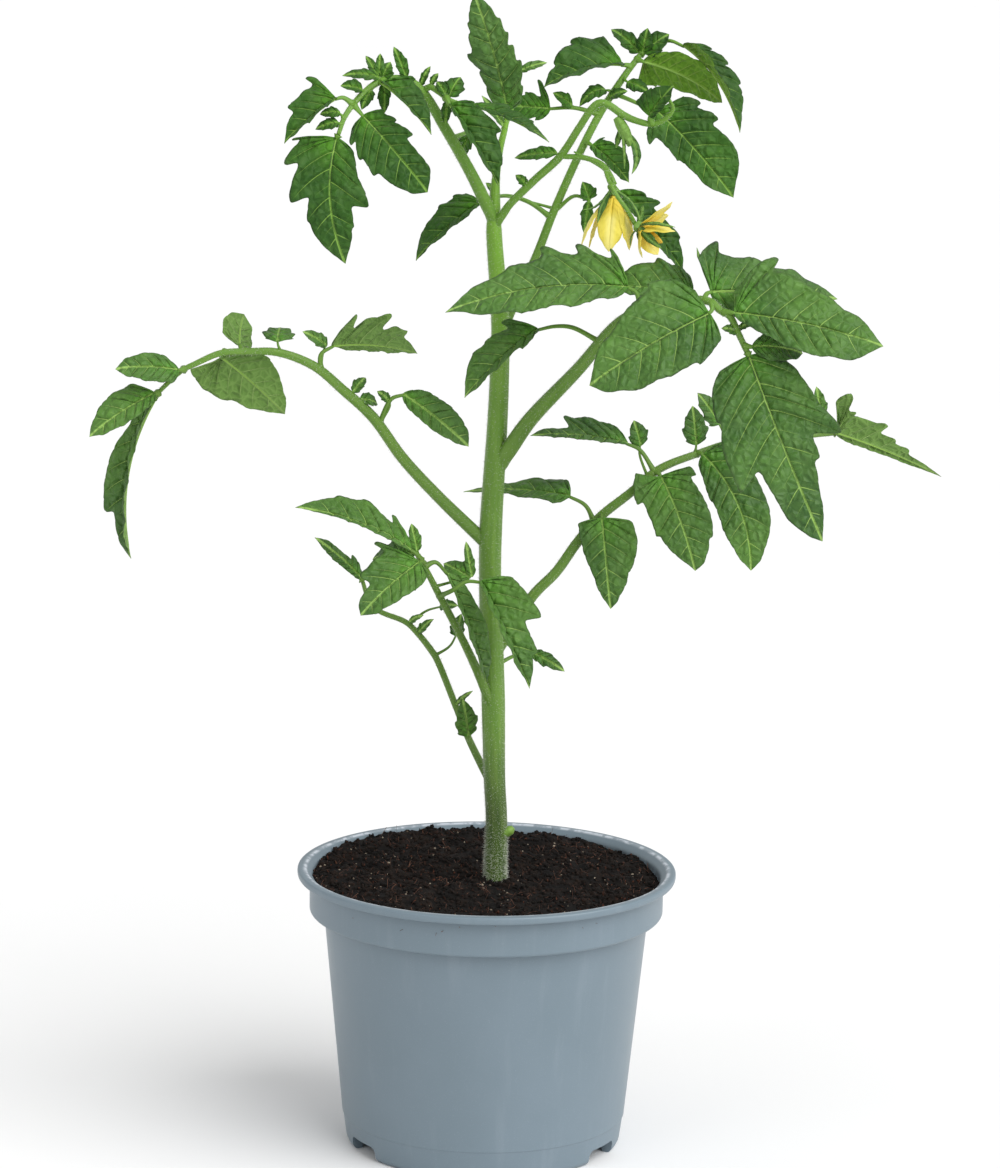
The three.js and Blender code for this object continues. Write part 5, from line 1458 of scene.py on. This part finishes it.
LEAVES = [
    CompoundLeaf(
        "top_left_leaf",
        [(-1.5, -1, 370, 2.4), (-10.5, -6, 388, 2.2), (-20, -10, 404.5, 2), (-29.5, -14, 419.5, 1.8),
         (-35.5, -17, 423.5, 1.6), (-44, -21, 423.5, 1.4), (-51, -26, 419, 1.2), (-57.5, -32, 411, 1),
         (-60, -35, 404, 0.8)],
        [
            Leaflet(1, Blade((-60.5, -35, 403), (-56.5, -44, 356.5), (0, -1, 0.15), [(0.12, 8), (0.28, 10),
                (0.6, 14.5, 0.46), (0.75, 7.5, 0.12)], [(0.1, 16.5, 0.26), (0.27, 18, 0.35), (0.51, 15.5, 0.52),
                (0.64, 9.5, 0.1)], arch=3, bend=4)),
            Leaflet(0.87, Blade((-51, -31, 411), (-26, -40, 383.5), (0.1, -1, 0.3), [(0.12, 7.5, 0.2),
                (0.27, 8.5, 0.2), (0.49, 9.5, 0.33), (0.8, 6.5)], [(0.05, 7), (0.19, 11.5, 0.26),
                (0.36, 12.5, 0.11), (0.57, 12.5, 0.16), (0.88, 6)], arch=3)),
            Leaflet(0.87, Blade((-61, -32, 417.5), (-80, -40, 401), (-0.2, -1, 0.5), [(0.3, 8, 0.15),
                (0.6, 7, 0.15)], [(0, 12, 0.14), (0.14, 14, 0.3), (0.63, 9, 0.35)], arch=2, fold=(55, 0))),
            Leaflet(0.71, Blade((-44.5, -24.5, 423), (-25, -33, 404.5), (0.2, -1, 0.6), [(0.31, 10, 0.16),
                (0.57, 7, 0.08)], [(0.28, 8, 0.1), (0.55, 6, 0.1)], arch=3, fold=(0, 60))),
            Leaflet(0.61, Blade((-18.5, -21, 415), (0.5, -26, 385), (0.2, -1, 0.3), [(0.13, 8.5, 0.15),
                (0.54, 11, 0.24), (0.84, 5, 0.28)], [(0.2, 7, 0.1), (0.5, 8, 0.15), (0.8, 4)], arch=3,
                fold=(0, 62)), branch=1),
            Leaflet(1, Blade((-10.5, -16, 414.2), (19.5, -21, 401.2), (0, -0.5, 1), [(0.42, 6.5, 0.25),
                (0.74, 5, 0.32)], [(0.4, 6, 0.2), (0.75, 4)], arch=2, fold=(0, 25)), branch=1),
        ],
        [
            Bit(0.72, (-45.5, -22, 424.6), (-59, -26, 425.5), 5, arch=2),
            Bit(0.8, (-51.5, -27, 420.2), (-59.5, -30, 422), 6),
            Bit(0.76, (-48, -25, 420), (-51.5, -28, 413), 5),
            Bit(0.7, (-43.3, -22, 422.6), (-43, -26, 411.5), 5),
            Bit(0.94, (-59.5, -33, 412), (-67, -34, 411.5), 5),
            Bit(0.96, (-60, -34, 408.5), (-68.5, -36, 406), 5),
            Bit(0.72, (-45.5, -21, 424.8), (-50.5, -18, 432.5), 4),
            Bit(0.71, (-45, -20.6, 424.8), (-45, -18, 433.5), 4),
            Bit(0.7, (-43.6, -20.6, 424.6), (-41, -20, 430.5), 6),
            Bit(0.62, (-35, -18, 424.6), (-40, -16, 436), 5),
            Bit(0.53, (-29.6, -14, 421.4), (-26, -12, 428.5), 3),
            Bit(0.2, (-25.6, -15, 421.8), (-23, -14, 426), 3, branch=1),
            Bit(0.6, (-18.7, -17.4, 417.6), (-14.5, -12, 424.5), 8, branch=1),
            Bit(0.55, (-19.6, -17.4, 417.6), (-23.5, -15, 423), 5, branch=1),
            Bit(0.57, (-19.4, -17.6, 415.8), (-20, -17, 407), 4, branch=1),
            Bit(1, (-10.3, 4, 402.6), (-14, 10, 392), 7, branch=2),
        ],
        [[(-29, -13, 419, 1.2), (-26, -15, 421, 1.2), (-21.5, -17, 418.5, 1.1), (-19, -18, 416.5, 1),
         (-12.5, -18, 414.3, 0.8)], [(-17, -8.5, 401, 1), (-13.5, -2, 402, 0.8), (-10.5, 3.5, 402.8, 0.7)]],
    ),
    CompoundLeaf(
        "flower_truss",
        [(0.5, -2, 368.5, 1.6), (5, -5, 375.5, 1.5), (14.5, -8, 385.5, 1.5), (24, -12, 395, 1.5),
         (31, -16, 406.5, 1.4), (36, -19, 414.5, 1.4), (38.5, -20, 416.3, 1.4), (41.5, -21, 415.8, 1.4),
         (47.5, -22, 412, 1.4), (52.5, -23, 410, 1.2), (58.5, -24, 409, 1.1), (63, -25, 411, 1),
         (66, -26, 415, 0.8), (64.5, -27, 418.5, 0.6)],
        [
            Leaflet(0.86, Blade((57.3, -25.5, 412), (66, -29.5, 424), (-0.5, -1, 0.3), [(0.09, 7.5),
                (0.6, 6, 0.16)], [(0.2, 3.5), (0.63, 4.5)], arch=1, fold=(10, 25))),
            Leaflet(0.35, Blade((46.5, -12, 382), (72, -5, 350.4), (0.2, -1, 0.4), [(0.21, 7, 0.11),
                (0.35, 9.5, 0.43), (0.72, 7, 0.21)], [(0.25, 5), (0.63, 4.5)], arch=3, fold=(0, 40)), branch=2),
        ],
        [Bit(0.35, (22.8, -11.6, 396.2), (6.5, -6, 393.5), 6, arch=1), Bit(0.17, (11, -7, 383.3), (7, -6, 387), 4)],
        [[(24, -12, 395, 1), (32.5, -15, 395, 1), (40, -18, 392.6, 1), (43, -19.3, 388.5, 1.1),
         (44.5, -20, 385.2, 1.2)], [(41, -19, 391, 0.8), (42.5, -24, 387, 0.8), (45.5, -28, 382, 0.8),
         (49.5, -28.5, 376.5, 0.8), (52.5, -26.7, 371.3, 0.9)]],
    ),
    CompoundLeaf(
        "back_right_leaf",
        [(2, 1, 324, 2), (9.5, 8, 341, 1.8), (15, 11, 352.5, 1.7), (23, 17, 373, 1.6), (38, 25, 405.5, 1.5),
         (49, 29, 423, 1.3), (55, 31, 431, 1.1)],
        [
            Leaflet(0.41, Blade((-6, 15, 374), (-31, 6, 352), (-0.3, -0.7, 0.8), [(0.26, 6), (0.58, 5)],
                [(0.05, 9, 0.16), (0.19, 10.5, 0.1), (0.4, 10.5, 0.1), (0.7, 6.5)], arch=2, fold=(30, 0)),
                via=[(12, 16, 374.5), (2.5, 17, 376.5)]),
            Leaflet(0.77, Blade((20, 22, 410), (4.5, 20, 411), (0, -1, 0.4), [(0.39, 5.5, 0.28), (0.74, 5.5)],
                [(0.37, 11, 0.62), (0.66, 6, 0.27), (0.91, 3.5)], arch=1), via=[(29.5, 23, 410.5)]),
            Leaflet(0.95, Blade((48, 28.6, 427), (17.5, 20, 418.5), (-0.2, -0.8, 0.8), [(0.25, 10, 0.2), (0.61, 8)],
                [(0.1, 15, 0.06), (0.5, 15.5, 0.15), (0.79, 8, 0.27)], arch=4, fold=(35, 0))),
            Leaflet(1, Blade((71.5, 28, 435), (93.5, 12, 403), (0.5, -0.7, 0.6), [(0.17, 9, 0.31), (0.38, 10, 0.26),
                (0.6, 10, 0.19)], [(0.35, 9, 0.15), (0.57, 7)], arch=5, fold=(0, 55)), via=[(60, 33, 434.5),
                (66, 31, 436.5)]),
            Leaflet(0.98, Blade((56, 28, 428.5), (86.5, 16, 414), (0.1, 0.9, 0.5), [(0, 10), (0.21, 10.5, 0.16),
                (0.53, 7), (0.75, 5)], [(0.12, 5), (0.35, 8.5), (0.58, 9), (0.79, 6.5)], arch=4)),
            Leaflet(0.85, Blade((61.5, 12, 410.5), (91, 0, 379), (0.2, -1, 0.3), [(0.05, 11.5, 0.05),
                (0.21, 14.5, 0.2), (0.42, 15, 0.23), (0.67, 12.5)], [(0.21, 12.5, 0.36), (0.47, 8.5, 0.15),
                (0.74, 6)], arch=4), via=[(51, 16, 414.5)]),
            Leaflet(0.67, Blade((36.5, 19, 396.5), (51, 12, 383), (0.3, -1, 0.4), [(0.06, 6, 0.26), (0.48, 7)],
                [(0.29, 5), (0.72, 4)], arch=2, fold=(0, 30))),
        ],
        [
            Bit(1, (54.4, 31.4, 431.6), (43.5, 38, 440), 7, arch=2),
            Bit(0.44, (-1, 15.4, 377), (-4.5, 12, 382), 4, via=[(12, 16.5, 374.5)]),
            Bit(0.79, (28.4, 23, 411.2), (21, 20, 416.5), 6),
            Bit(0.85, (41.5, 27, 417.3), (31.5, 24, 411), 6, arch=4),
            Bit(1, (56, 30.6, 432), (57.5, 28, 441.5), 7),
            Bit(1, (56.4, 30.4, 431.6), (66, 31, 439), 10),
            Bit(0.91, (50, 25.4, 420.6), (58.5, 21, 417), 6),
            Bit(0.86, (43.6, 24, 414.6), (50, 21, 417.5), 5),
            Bit(1, (35.6, 14, 376), (33, 12, 383), 7, branch=1),
            Bit(1, (35.8, 13.8, 375.4), (34, 10, 363), 5, branch=1),
        ],
        [[(22, 16.3, 370.5, 0.8), (30, 16, 377, 0.7), (35.5, 14, 375.8, 0.6)]],
    ),
    CompoundLeaf(
        "front_right_leaf",
        [(2.5, -2, 274.5, 3.2), (13.8, -10, 292.5, 2.95), (31.8, -26, 315, 2.5), (48.2, -42, 336.5, 2.15),
         (62, -52, 344, 1.7), (80, -60, 346.5, 1.5), (84, -62, 343.5, 1.4), (87.5, -63, 341.5, 1.3),
         (91, -64, 335, 1.2), (94.5, -65.2, 328, 1.1)],
        [
            Leaflet(0.64, Blade((50, -46, 349.5), (-18.5, -58, 340.5), (-0.1, -0.6, 0.8), [(0.12, 8), (0.34, 13),
                (0.62, 12)], [(0.09, 19, 0.29), (0.26, 21, 0.29), (0.44, 20, 0.28), (0.63, 11, 0.11)], arch=3,
                bend=3)),
            Leaflet(0.81, Blade((74.5, -43, 345.8), (44, -37, 348.2), (-0.1, -0.6, 0.8), [(0.26, 4.5), (0.62, 5)],
                [(0.15, 11), (0.55, 15, 0.1), (0.85, 8)], arch=2)),
            Leaflet(0.84, Blade((80, -64, 342.5), (35.5, -76, 316.5), (-0.2, -0.9, 0.4), [(0.04, 11),
                (0.29, 16.5, 0.03), (0.63, 14), (0.88, 8)], [(0.02, 10.5, 0.05), (0.12, 19, 0.05), (0.29, 21, 0.11),
                (0.69, 11.5)], arch=4)),
            Leaflet(0.82, Blade((80.5, -55, 349.5), (129.5, -36, 345), (0, -0.7, 0.8), [(-0.02, 21, 0.37),
                (0.16, 23.5, 0.32), (0.4, 16.5, 0.12), (0.63, 11.5)], [(0.2, 10), (0.5, 9)], arch=2, fold=(0, -60))),
            Leaflet(0.88, Blade((89, -65, 343), (144.5, -70, 332), (0.15, -0.8, 0.5), [(-0.04, 8.5),
                (0.22, 24.5, 0.26), (0.47, 15, 0.09), (0.7, 9.5)], [(0.1, 4), (0.28, 8.5), (0.5, 12.5),
                (0.73, 11.5)], arch=4)),
            Leaflet(0.98, Blade((96, -66, 330.5), (115, -64, 328), (0, -0.8, 0.6), [(0.44, 6.5), (0.84, 4)],
                [(0.4, 6), (0.81, 4)], arch=2)),
            Leaflet(1, Blade((94.8, -65.7, 327.2), (123.5, -78, 259.5), (0.05, -1, 0.2), [(0.04, 10), (0.19, 15.5),
                (0.35, 18), (0.54, 22.5, 0.5, 5), (0.615, 11.5, 0.25, 1), (0.77, 6)], [(0.04, 13), (0.13, 18),
                (0.275, 20.5, 0.08), (0.48, 22.5), (0.63, 22, 0.48, 6.5), (0.8, 9), (0.92, 5)], arch=4, bend=1)),
            Leaflet(0.48, Blade((16.5, -34, 331.5), (-11, -42, 306), (-0.3, -0.9, 0.5), [(0.3, 7, 0.15), (0.6, 6)],
                [(0.23, 11.5, 0.34), (0.49, 9.5, 0.07), (0.65, 9.5, 0.09)], arch=3, fold=(40, 0)),
                via=[(29.5, -32, 332), (23, -33, 332.5)]),
        ],
        [Bit(0.94, (90, -63.4, 335.5), (84.5, -64, 337), 4), Bit(0.93, (91, -62.6, 336.6), (96, -62, 338.5), 3)],
    ),
    CompoundLeaf(
        "lower_right_leaf",
        [(2.5, 0, 199, 2.2), (16.6, 4, 221, 2.05), (25.4, 6, 230, 2.0), (34, 9, 242, 1.95), (42.5, 11, 251.5, 1.85),
         (54, 14, 260.5, 1.75), (65, 17, 269.5, 1.6), (81, 22, 275.5, 1.4), (93.5, 27, 279, 1.2),
         (117.5, 34, 280.5, 1.1), (135.5, 40.5, 281.3, 0.9)],
        [
            Leaflet(0.37, Blade((30.5, 10, 259.5), (-11.5, 22, 258.5), (0, -0.5, 1), [(0.12, 7), (0.3, 6), (0.6, 3),
                (0.8, 1.4)], [(0.1, 9), (0.28, 8), (0.6, 3.5), (0.8, 1.5)], arch=2), via=[(36.5, 10, 256)]),
            Leaflet(0.39, Blade((43, 7.6, 251.6), (47, 1, 216.5), (0, -1, 0.2), [(0.1, 12), (0.28, 13),
                (0.62, 9, 0.09), (0.89, 3.5)], [(0.05, 9.5), (0.23, 9.5, 0.07), (0.65, 5)], arch=2)),
            Leaflet(0.55, Blade((52.8, 14.6, 280), (14.5, 6, 284), (-0.1, -0.6, 1), [(0.3, 2.8), (0.66, 2.4)],
                [(0.15, 8), (0.4, 10.5), (0.65, 10.5, 0.6, 2), (0.85, 3)], arch=2), via=[(57.5, 16, 277.5)]),
            Leaflet(0.55, Blade((66, 14, 267.5), (80, 5, 231.5), (0.05, -1, 0.2), [(0.05, 12), (0.15, 13, 0.23),
                (0.5, 12), (0.74, 10, 0.16), (0.93, 4.5)], [(-0.12, 9), (0.2, 14, 0.22), (0.57, 11, 0.14)], arch=3,
                bend=-1)),
            Leaflet(0.66, Blade((82.5, 19.5, 275.5), (102, 7, 231.5), (0.05, -1, 0.15), [(0.04, 9),
                (0.34, 15.5, 0.28), (0.56, 11), (0.88, 5)], [(0.07, 5), (0.37, 9, 0.05), (0.64, 9), (0.85, 5.5)],
                arch=3, bend=-5)),
            Leaflet(1, Blade((136.3, 40.8, 281.5), (180, 52, 262.5), (-0.1, 0.9, 0.5), [(0.2, 2.6), (0.5, 2)],
                [(-0.16, 12), (-0.1, 19), (-0.02, 17, 0.4, 0), (0.07, 12.5, 0.3, 1), (0.41, 10.5, 0.45, 4),
                (0.52, 6.5, 0.4, 1), (0.667, 4.5, 0.5, 1)], arch=2, fold=(-20, 0))),
        ],
        [
            Bit(0.53, (58, 17, 279), (55, 17, 289), 8, via=[(57.5, 16, 276)]),
            Bit(0.65, (80, 21, 279), (78, 18, 295), 10),
            Bit(0.73, (89, 24, 287), (80, 22, 299.5), 9),
            Bit(0.97, (130, 37, 288), (127.5, 34, 301), 6),
        ],
    ),
    CompoundLeaf(
        "left_leaf",
        [(0, -2, 240.5, 2.5), (-21.2, -6, 261.5, 2.3), (-35, -10, 277, 2.2), (-46.6, -14, 293.5, 2.1),
         (-58, -18, 304.5, 1.9), (-69, -21, 314, 1.75), (-82.5, -24, 319.5, 1.55), (-94.5, -26, 320, 1.3),
         (-104.5, -28, 319.5, 1.2), (-114, -30, 315.5, 1.1), (-119, -31, 313, 1), (-124, -32, 308.5, 0.9),
         (-128, -33, 304.5, 0.8)],
        [
            Leaflet(0.4, Blade((-35, -12.5, 302.6), (-9.5, -10, 282), (0.2, -1, 0.4), [(0.29, 6.5), (0.58, 7, 0.05),
                (0.8, 5)], [(0.22, 4), (0.5, 4.6), (0.8, 2.8)], arch=3, fold=(0, -20)), via=[(-39.5, -13, 300.5)]),
            Leaflet(0.59, Blade((-62.5, -18, 321.5), (-29.5, -24, 320), (0.1, 0.6, 0.8), [(0.29, 6), (0.62, 6)],
                [(0.08, 4), (0.26, 12), (0.35, 15, 0.5, 3), (0.74, 17, 0.45, 5), (0.92, 12, 0.5, 3)], arch=2,
                fold=(0, 12)), via=[(-66.5, -20, 318.5)]),
            Leaflet(0.82, Blade((-104.5, -22.5, 317), (-80.5, -13, 294), (-0.3, 0.9, 0.4), [(-0.15, 12),
                (0.19, 14.5), (0.58, 9.5)], [(0.02, 4.5), (0.25, 9.5), (0.46, 11.5, 0.05), (0.85, 5)], arch=3)),
            Leaflet(0.77, Blade((-97.5, -24, 322), (-96.5, -12, 332.5), (-0.2, 0.9, 0.4), [(0.15, 7), (0.8, 5)],
                [(0.15, 7), (0.5, 8), (0.88, 5)], arch=1)),
            Leaflet(0.92, Blade((-120, -33.5, 313.5), (-143.5, -40, 314.5), (-0.2, -0.8, 0.6), [(0.2, 7, 0.1),
                (0.43, 7), (0.8, 4)], [(0.44, 6), (0.76, 4.5)], arch=2)),
            Leaflet(1, Blade((-129, -34, 304.5), (-153, -44, 289), (-0.3, -0.8, 0.5), [(0.2, 5), (0.45, 6),
                (0.72, 4.5)], [(0.23, 8.5), (0.53, 8.5, 0.06), (0.81, 4.5)], arch=2)),
            Leaflet(1, Blade((-129, -31.5, 302), (-139, -24, 238.5), (-0.5, -0.8, 0.1), [(0.16, 7), (0.43, 9, 0.31),
                (0.75, 6)], [(0.22, 5), (0.51, 9), (0.74, 9, 0.5), (0.87, 4)], arch=3, bend=5, fold=(50, 10))),
        ],
        [
            Bit(0.4, (-40.8, -13, 299.8), (-45, -13, 303.5), 4, via=[(-40, -13, 298.6)]),
            Bit(0.5, (-54, -16.6, 303.4), (-49.5, -12, 308.5), 5),
            Bit(0.48, (-51.6, -15.6, 300.4), (-45, -10, 298), 6),
            Bit(0.59, (-64.5, -18, 321.4), (-73.5, -22, 327.5), 6, via=[(-66, -19.6, 317.6)]),
            Bit(0.69, (-83, -24, 323.5), (-82.5, -12, 327.5), 12),
        ],
    ),
    CompoundLeaf(
        "lower_left_leaf",
        [(2, -5, 175.5, 1.9), (-5.5, -12, 195, 1.7), (-12, -17, 209.5, 1.5), (-21, -24, 228, 1.3),
         (-25.5, -28, 237.5, 1.1), (-28, -30, 242.5, 0.9)],
        [
            Leaflet(0.97, Blade((-31, -31.5, 245), (-75, -38, 262), (-0.1, -0.6, 0.9), [(0.22, 2), (0.57, 1.6)],
                [(0.1, 7), (0.24, 11, 0.4, 2), (0.5, 11.5, 0.08), (0.72, 8.5, 0.1)], arch=4)),
            Leaflet(0.95, Blade((-27.5, -33, 240.5), (-49.5, -44, 221.5), (-0.1, -0.9, 0.5), [(0.08, 7),
                (0.33, 8.5, 0.09), (0.79, 5)], [(0.06, 8, 0.2), (0.28, 17, 0.31), (0.69, 11, 0.48), (0.9, 4)],
                arch=3)),
            Leaflet(0.93, Blade((-17, -25.5, 235), (-1.5, -14, 189), (0.4, -1, 0.2), [(0.26, 5.5), (0.5, 7),
                (0.75, 5)], [(0.25, 4), (0.52, 5), (0.79, 3.5)], arch=3, fold=(0, 55)), via=[(-21.5, -27, 239.5)]),
            Leaflet(0.74, Blade((-4, -28, 232.6), (15.5, -34.5, 192), (0.1, -1, 0.3), [(0.11, 12),
                (0.5, 15.5, 0.45), (0.76, 8.5, 0.32)], [(0.1, 5), (0.33, 7), (0.58, 6)], arch=3, fold=(0, 65)),
                via=[(-14.5, -31, 229.5), (-9.5, -30, 232.6)]),
        ],
        [
            Bit(0.97, (-28.4, -28.6, 244), (-31, -24.5, 254), 5),
            Bit(1, (-29, -28.6, 243), (-46, -16, 238), 12, arch=2),
            Bit(0.8, (-8, -19.6, 232), (-18.5, -14, 236.5), 9, via=[(-14, -21, 231)]),
            Bit(0.8, (-7.4, -19.4, 232.4), (-10, -12, 245), 4, via=[(-14, -21, 231)]),
        ],
    ),
    CompoundLeaf(
        "lowest_leaf",
        [(2, 0, 144, 1.6), (-7.5, 8, 161, 1.4), (-13, 12, 173.5, 1.3), (-21, 16, 192, 1.3), (-23, 17, 195, 1.3),
         (-28.5, 19, 201.5, 1.2), (-33.5, 20, 206, 1.1), (-45, 22, 210.5, 1), (-49, 22, 216, 0.9),
         (-51, 22, 222, 0.8)],
        [
            Leaflet(1, Blade((-51.5, 22, 223), (-70, 18, 240), (-0.1, -0.8, 0.7), [(0.2, 2.2), (0.58, 2.8)],
                [(0.38, 4.2, 0.45, 1), (0.77, 2.3)], arch=2)),
        ],
        [
            Bit(0.57, (-13.5, 14, 202), (-11.5, 12, 211.5), 6),
            Bit(0.73, (-20, 18, 213), (-13, 15, 214), 5),
            Bit(0.71, (-32.2, 19.4, 206), (-26.5, 17.5, 209.5), 3),
            Bit(0.66, (-28.2, 18.2, 202.2), (-22.5, 15, 208.5), 4),
            Bit(0.33, (-13, 11.4, 174.8), (-6.5, 9, 181), 2.5),
            Bit(0.19, (-8, 7.4, 163), (-10.5, 3, 179), 9),
        ],
    ),
]

TOP_LEAFLET = Blade((3.6, 5, 410.6), (-10, -2, 456), (-0.2, -1, 0), [(0.08, 5), (0.23, 6.5, 0.11),
    (0.38, 7.5, 0.15), (0.55, 10.5, 0.25), (0.71, 7.5, 0.18), (0.8, 6.5, 0.19)], [(0.08, 6), (0.2, 8, 0.15),
    (0.41, 10, 0.25), (0.54, 8.5, 0.26), (0.64, 8, 0.19), (0.76, 6.5, 0.18)], arch=2, bend=1.5)

STEM_LINE = Route(MAIN_ROUTE)
TOP_LEAVES = ("top_left_leaf", "back_right_leaf", "flower_truss")

FLOWERS = [
    Flower("flower_1", (44.6, -20.1, 382.6), (-0.04, -0.08, -1), [Strap((44.2, -22.2, 380.4), (42.8, -27.8, 360.6),
        5.2, 1.2), Strap((45.9, -21.4, 380.2), (50.6, -26.6, 361.2), 3.7, 1.0, -0.6), Strap((43.0, -20.8, 380.2),
        (32.4, -24.5, 361.3), 2.7, 2.0, 0.8), Strap((43.2, -19.0, 380.2), (35.4, -19.0, 360.8), 2.5, 1.6, 0.6),
        Strap((45.6, -19.4, 380.2), (51.6, -18.6, 362.6), 4.0, 1.6)], [Strap((45.9, -22.0, 383.0),
        (54.6, -28.0, 372.0), 1.5, 1.4, -0.8), Strap((43.0, -21.4, 383.4), (32.4, -26.5, 376.4), 1.0, -2.8, 1.8),
        Strap((42.9, -22.0, 382.6), (38.4, -26.8, 371.4), 1.7, 1.0), Strap((45.0, -18.6, 382.6),
        (49.0, -12.6, 372.6), 1.5, 1.0), Strap((43.8, -18.8, 382.4), (42.0, -14.6, 365.0), 1.5, 1.0)], 11),
    Flower("flower_2", (53.6, -27.2, 370.6), (0.8, -0.35, -0.5), [Strap((55.3, -27.4, 371.2), (66.4, -31.2, 380.4),
        4.4, -0.5, 0.6), Strap((55.8, -28.4, 369.9), (67.6, -34.6, 369.6), 4.2, 0.8, 0.8),
        Strap((54.9, -28.6, 368.9), (55.4, -34.2, 359.4), 4.4, 1.0), Strap((55.2, -26.8, 369.0),
        (61.6, -27.4, 359.8), 4.4, 0.8), Strap((55.6, -26.2, 370.4), (65.4, -21.6, 374.2), 3.8, 0.6)],
        [Strap((54.6, -28.8, 371.2), (67.4, -38.6, 371.6), 1.2, 1.4, 0.5), Strap((54.4, -29.2, 370.1),
        (62.6, -38.0, 363.4), 1.7, 1.2), Strap((53.4, -29.0, 369.7), (50.8, -33.6, 363.6), 1.5, 0.9),
        Strap((53.8, -26.2, 369.6), (56.6, -22.0, 362.0), 1.4, 0.8), Strap((54.0, -26.2, 371.8),
        (55.6, -24.0, 378.2), 1.2, 0.6)], 23),
]


HAIRS = [
    Scatter("downy_hairs", Grain.HAIR, Finish.HAIR, 1.1e6, 0.001, (0.4, 1.25), 0.6, 31, (0.112, 0.14, 3.4, 1.0),
            0.00006, "stem_green"),
    Scatter("foot_hairs", Grain.HAIR, Finish.HAIR, 5.0e6, 0.0017, (0.35, 1.2), 0.7, 37, (0.104, 0.131, 1.0, 0.0),
            0.00006, "stem_green"),
]

GROUND_COVER = [
    Scatter("peat_crumbs", Grain.CRUMB, Finish.CRUMB, 2.2e5, 0.0007, (0.35, 1.9), 3.0, 41),
    Scatter("peat_fibres", Grain.FIBRE, Finish.FIBRE, 3.0e4, 0.006, (0.4, 1.3), 1.6, 51, thick=0.00009),
    Scatter("pale_flecks", Grain.CRUMB, Finish.FLECK, 1.4e4, 0.00042, (0.4, 1.4), 3.0, 61),
]


def hair_ground() -> bpy.types.Mesh:
    """Returns the surface that hairs grow on: the stem and every stalk and branch, more coarsely."""
    shell = Shell()
    routes = [MAIN_ROUTE, *(leaf.route for leaf in LEAVES), *(b for leaf in LEAVES for b in leaf.branches)]
    for number, rows in enumerate(routes):
        Route(rows).tube(shell, 12, 3.0, seed=number)
    made = shell.piece("down_ground", [Finish.HAIR])
    ground = made.data.copy()
    bpy.data.objects.remove(made)
    return ground


def main() -> None:
    """Builds every piece of the plant in turn."""
    Studio().build()
    Pot().build()
    soil = Soil().build()
    MainStem(MAIN_ROUTE, TOP_LEAFLET).build()
    for part in (*LEAVES, *FLOWERS, Bud()):
        part.build()
    ground = hair_ground()
    for hairs in HAIRS:
        hairs.over(ground)
    for cover in GROUND_COVER:
        cover.over(soil.data)
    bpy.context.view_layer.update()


if __name__ == "__main__":
    main()
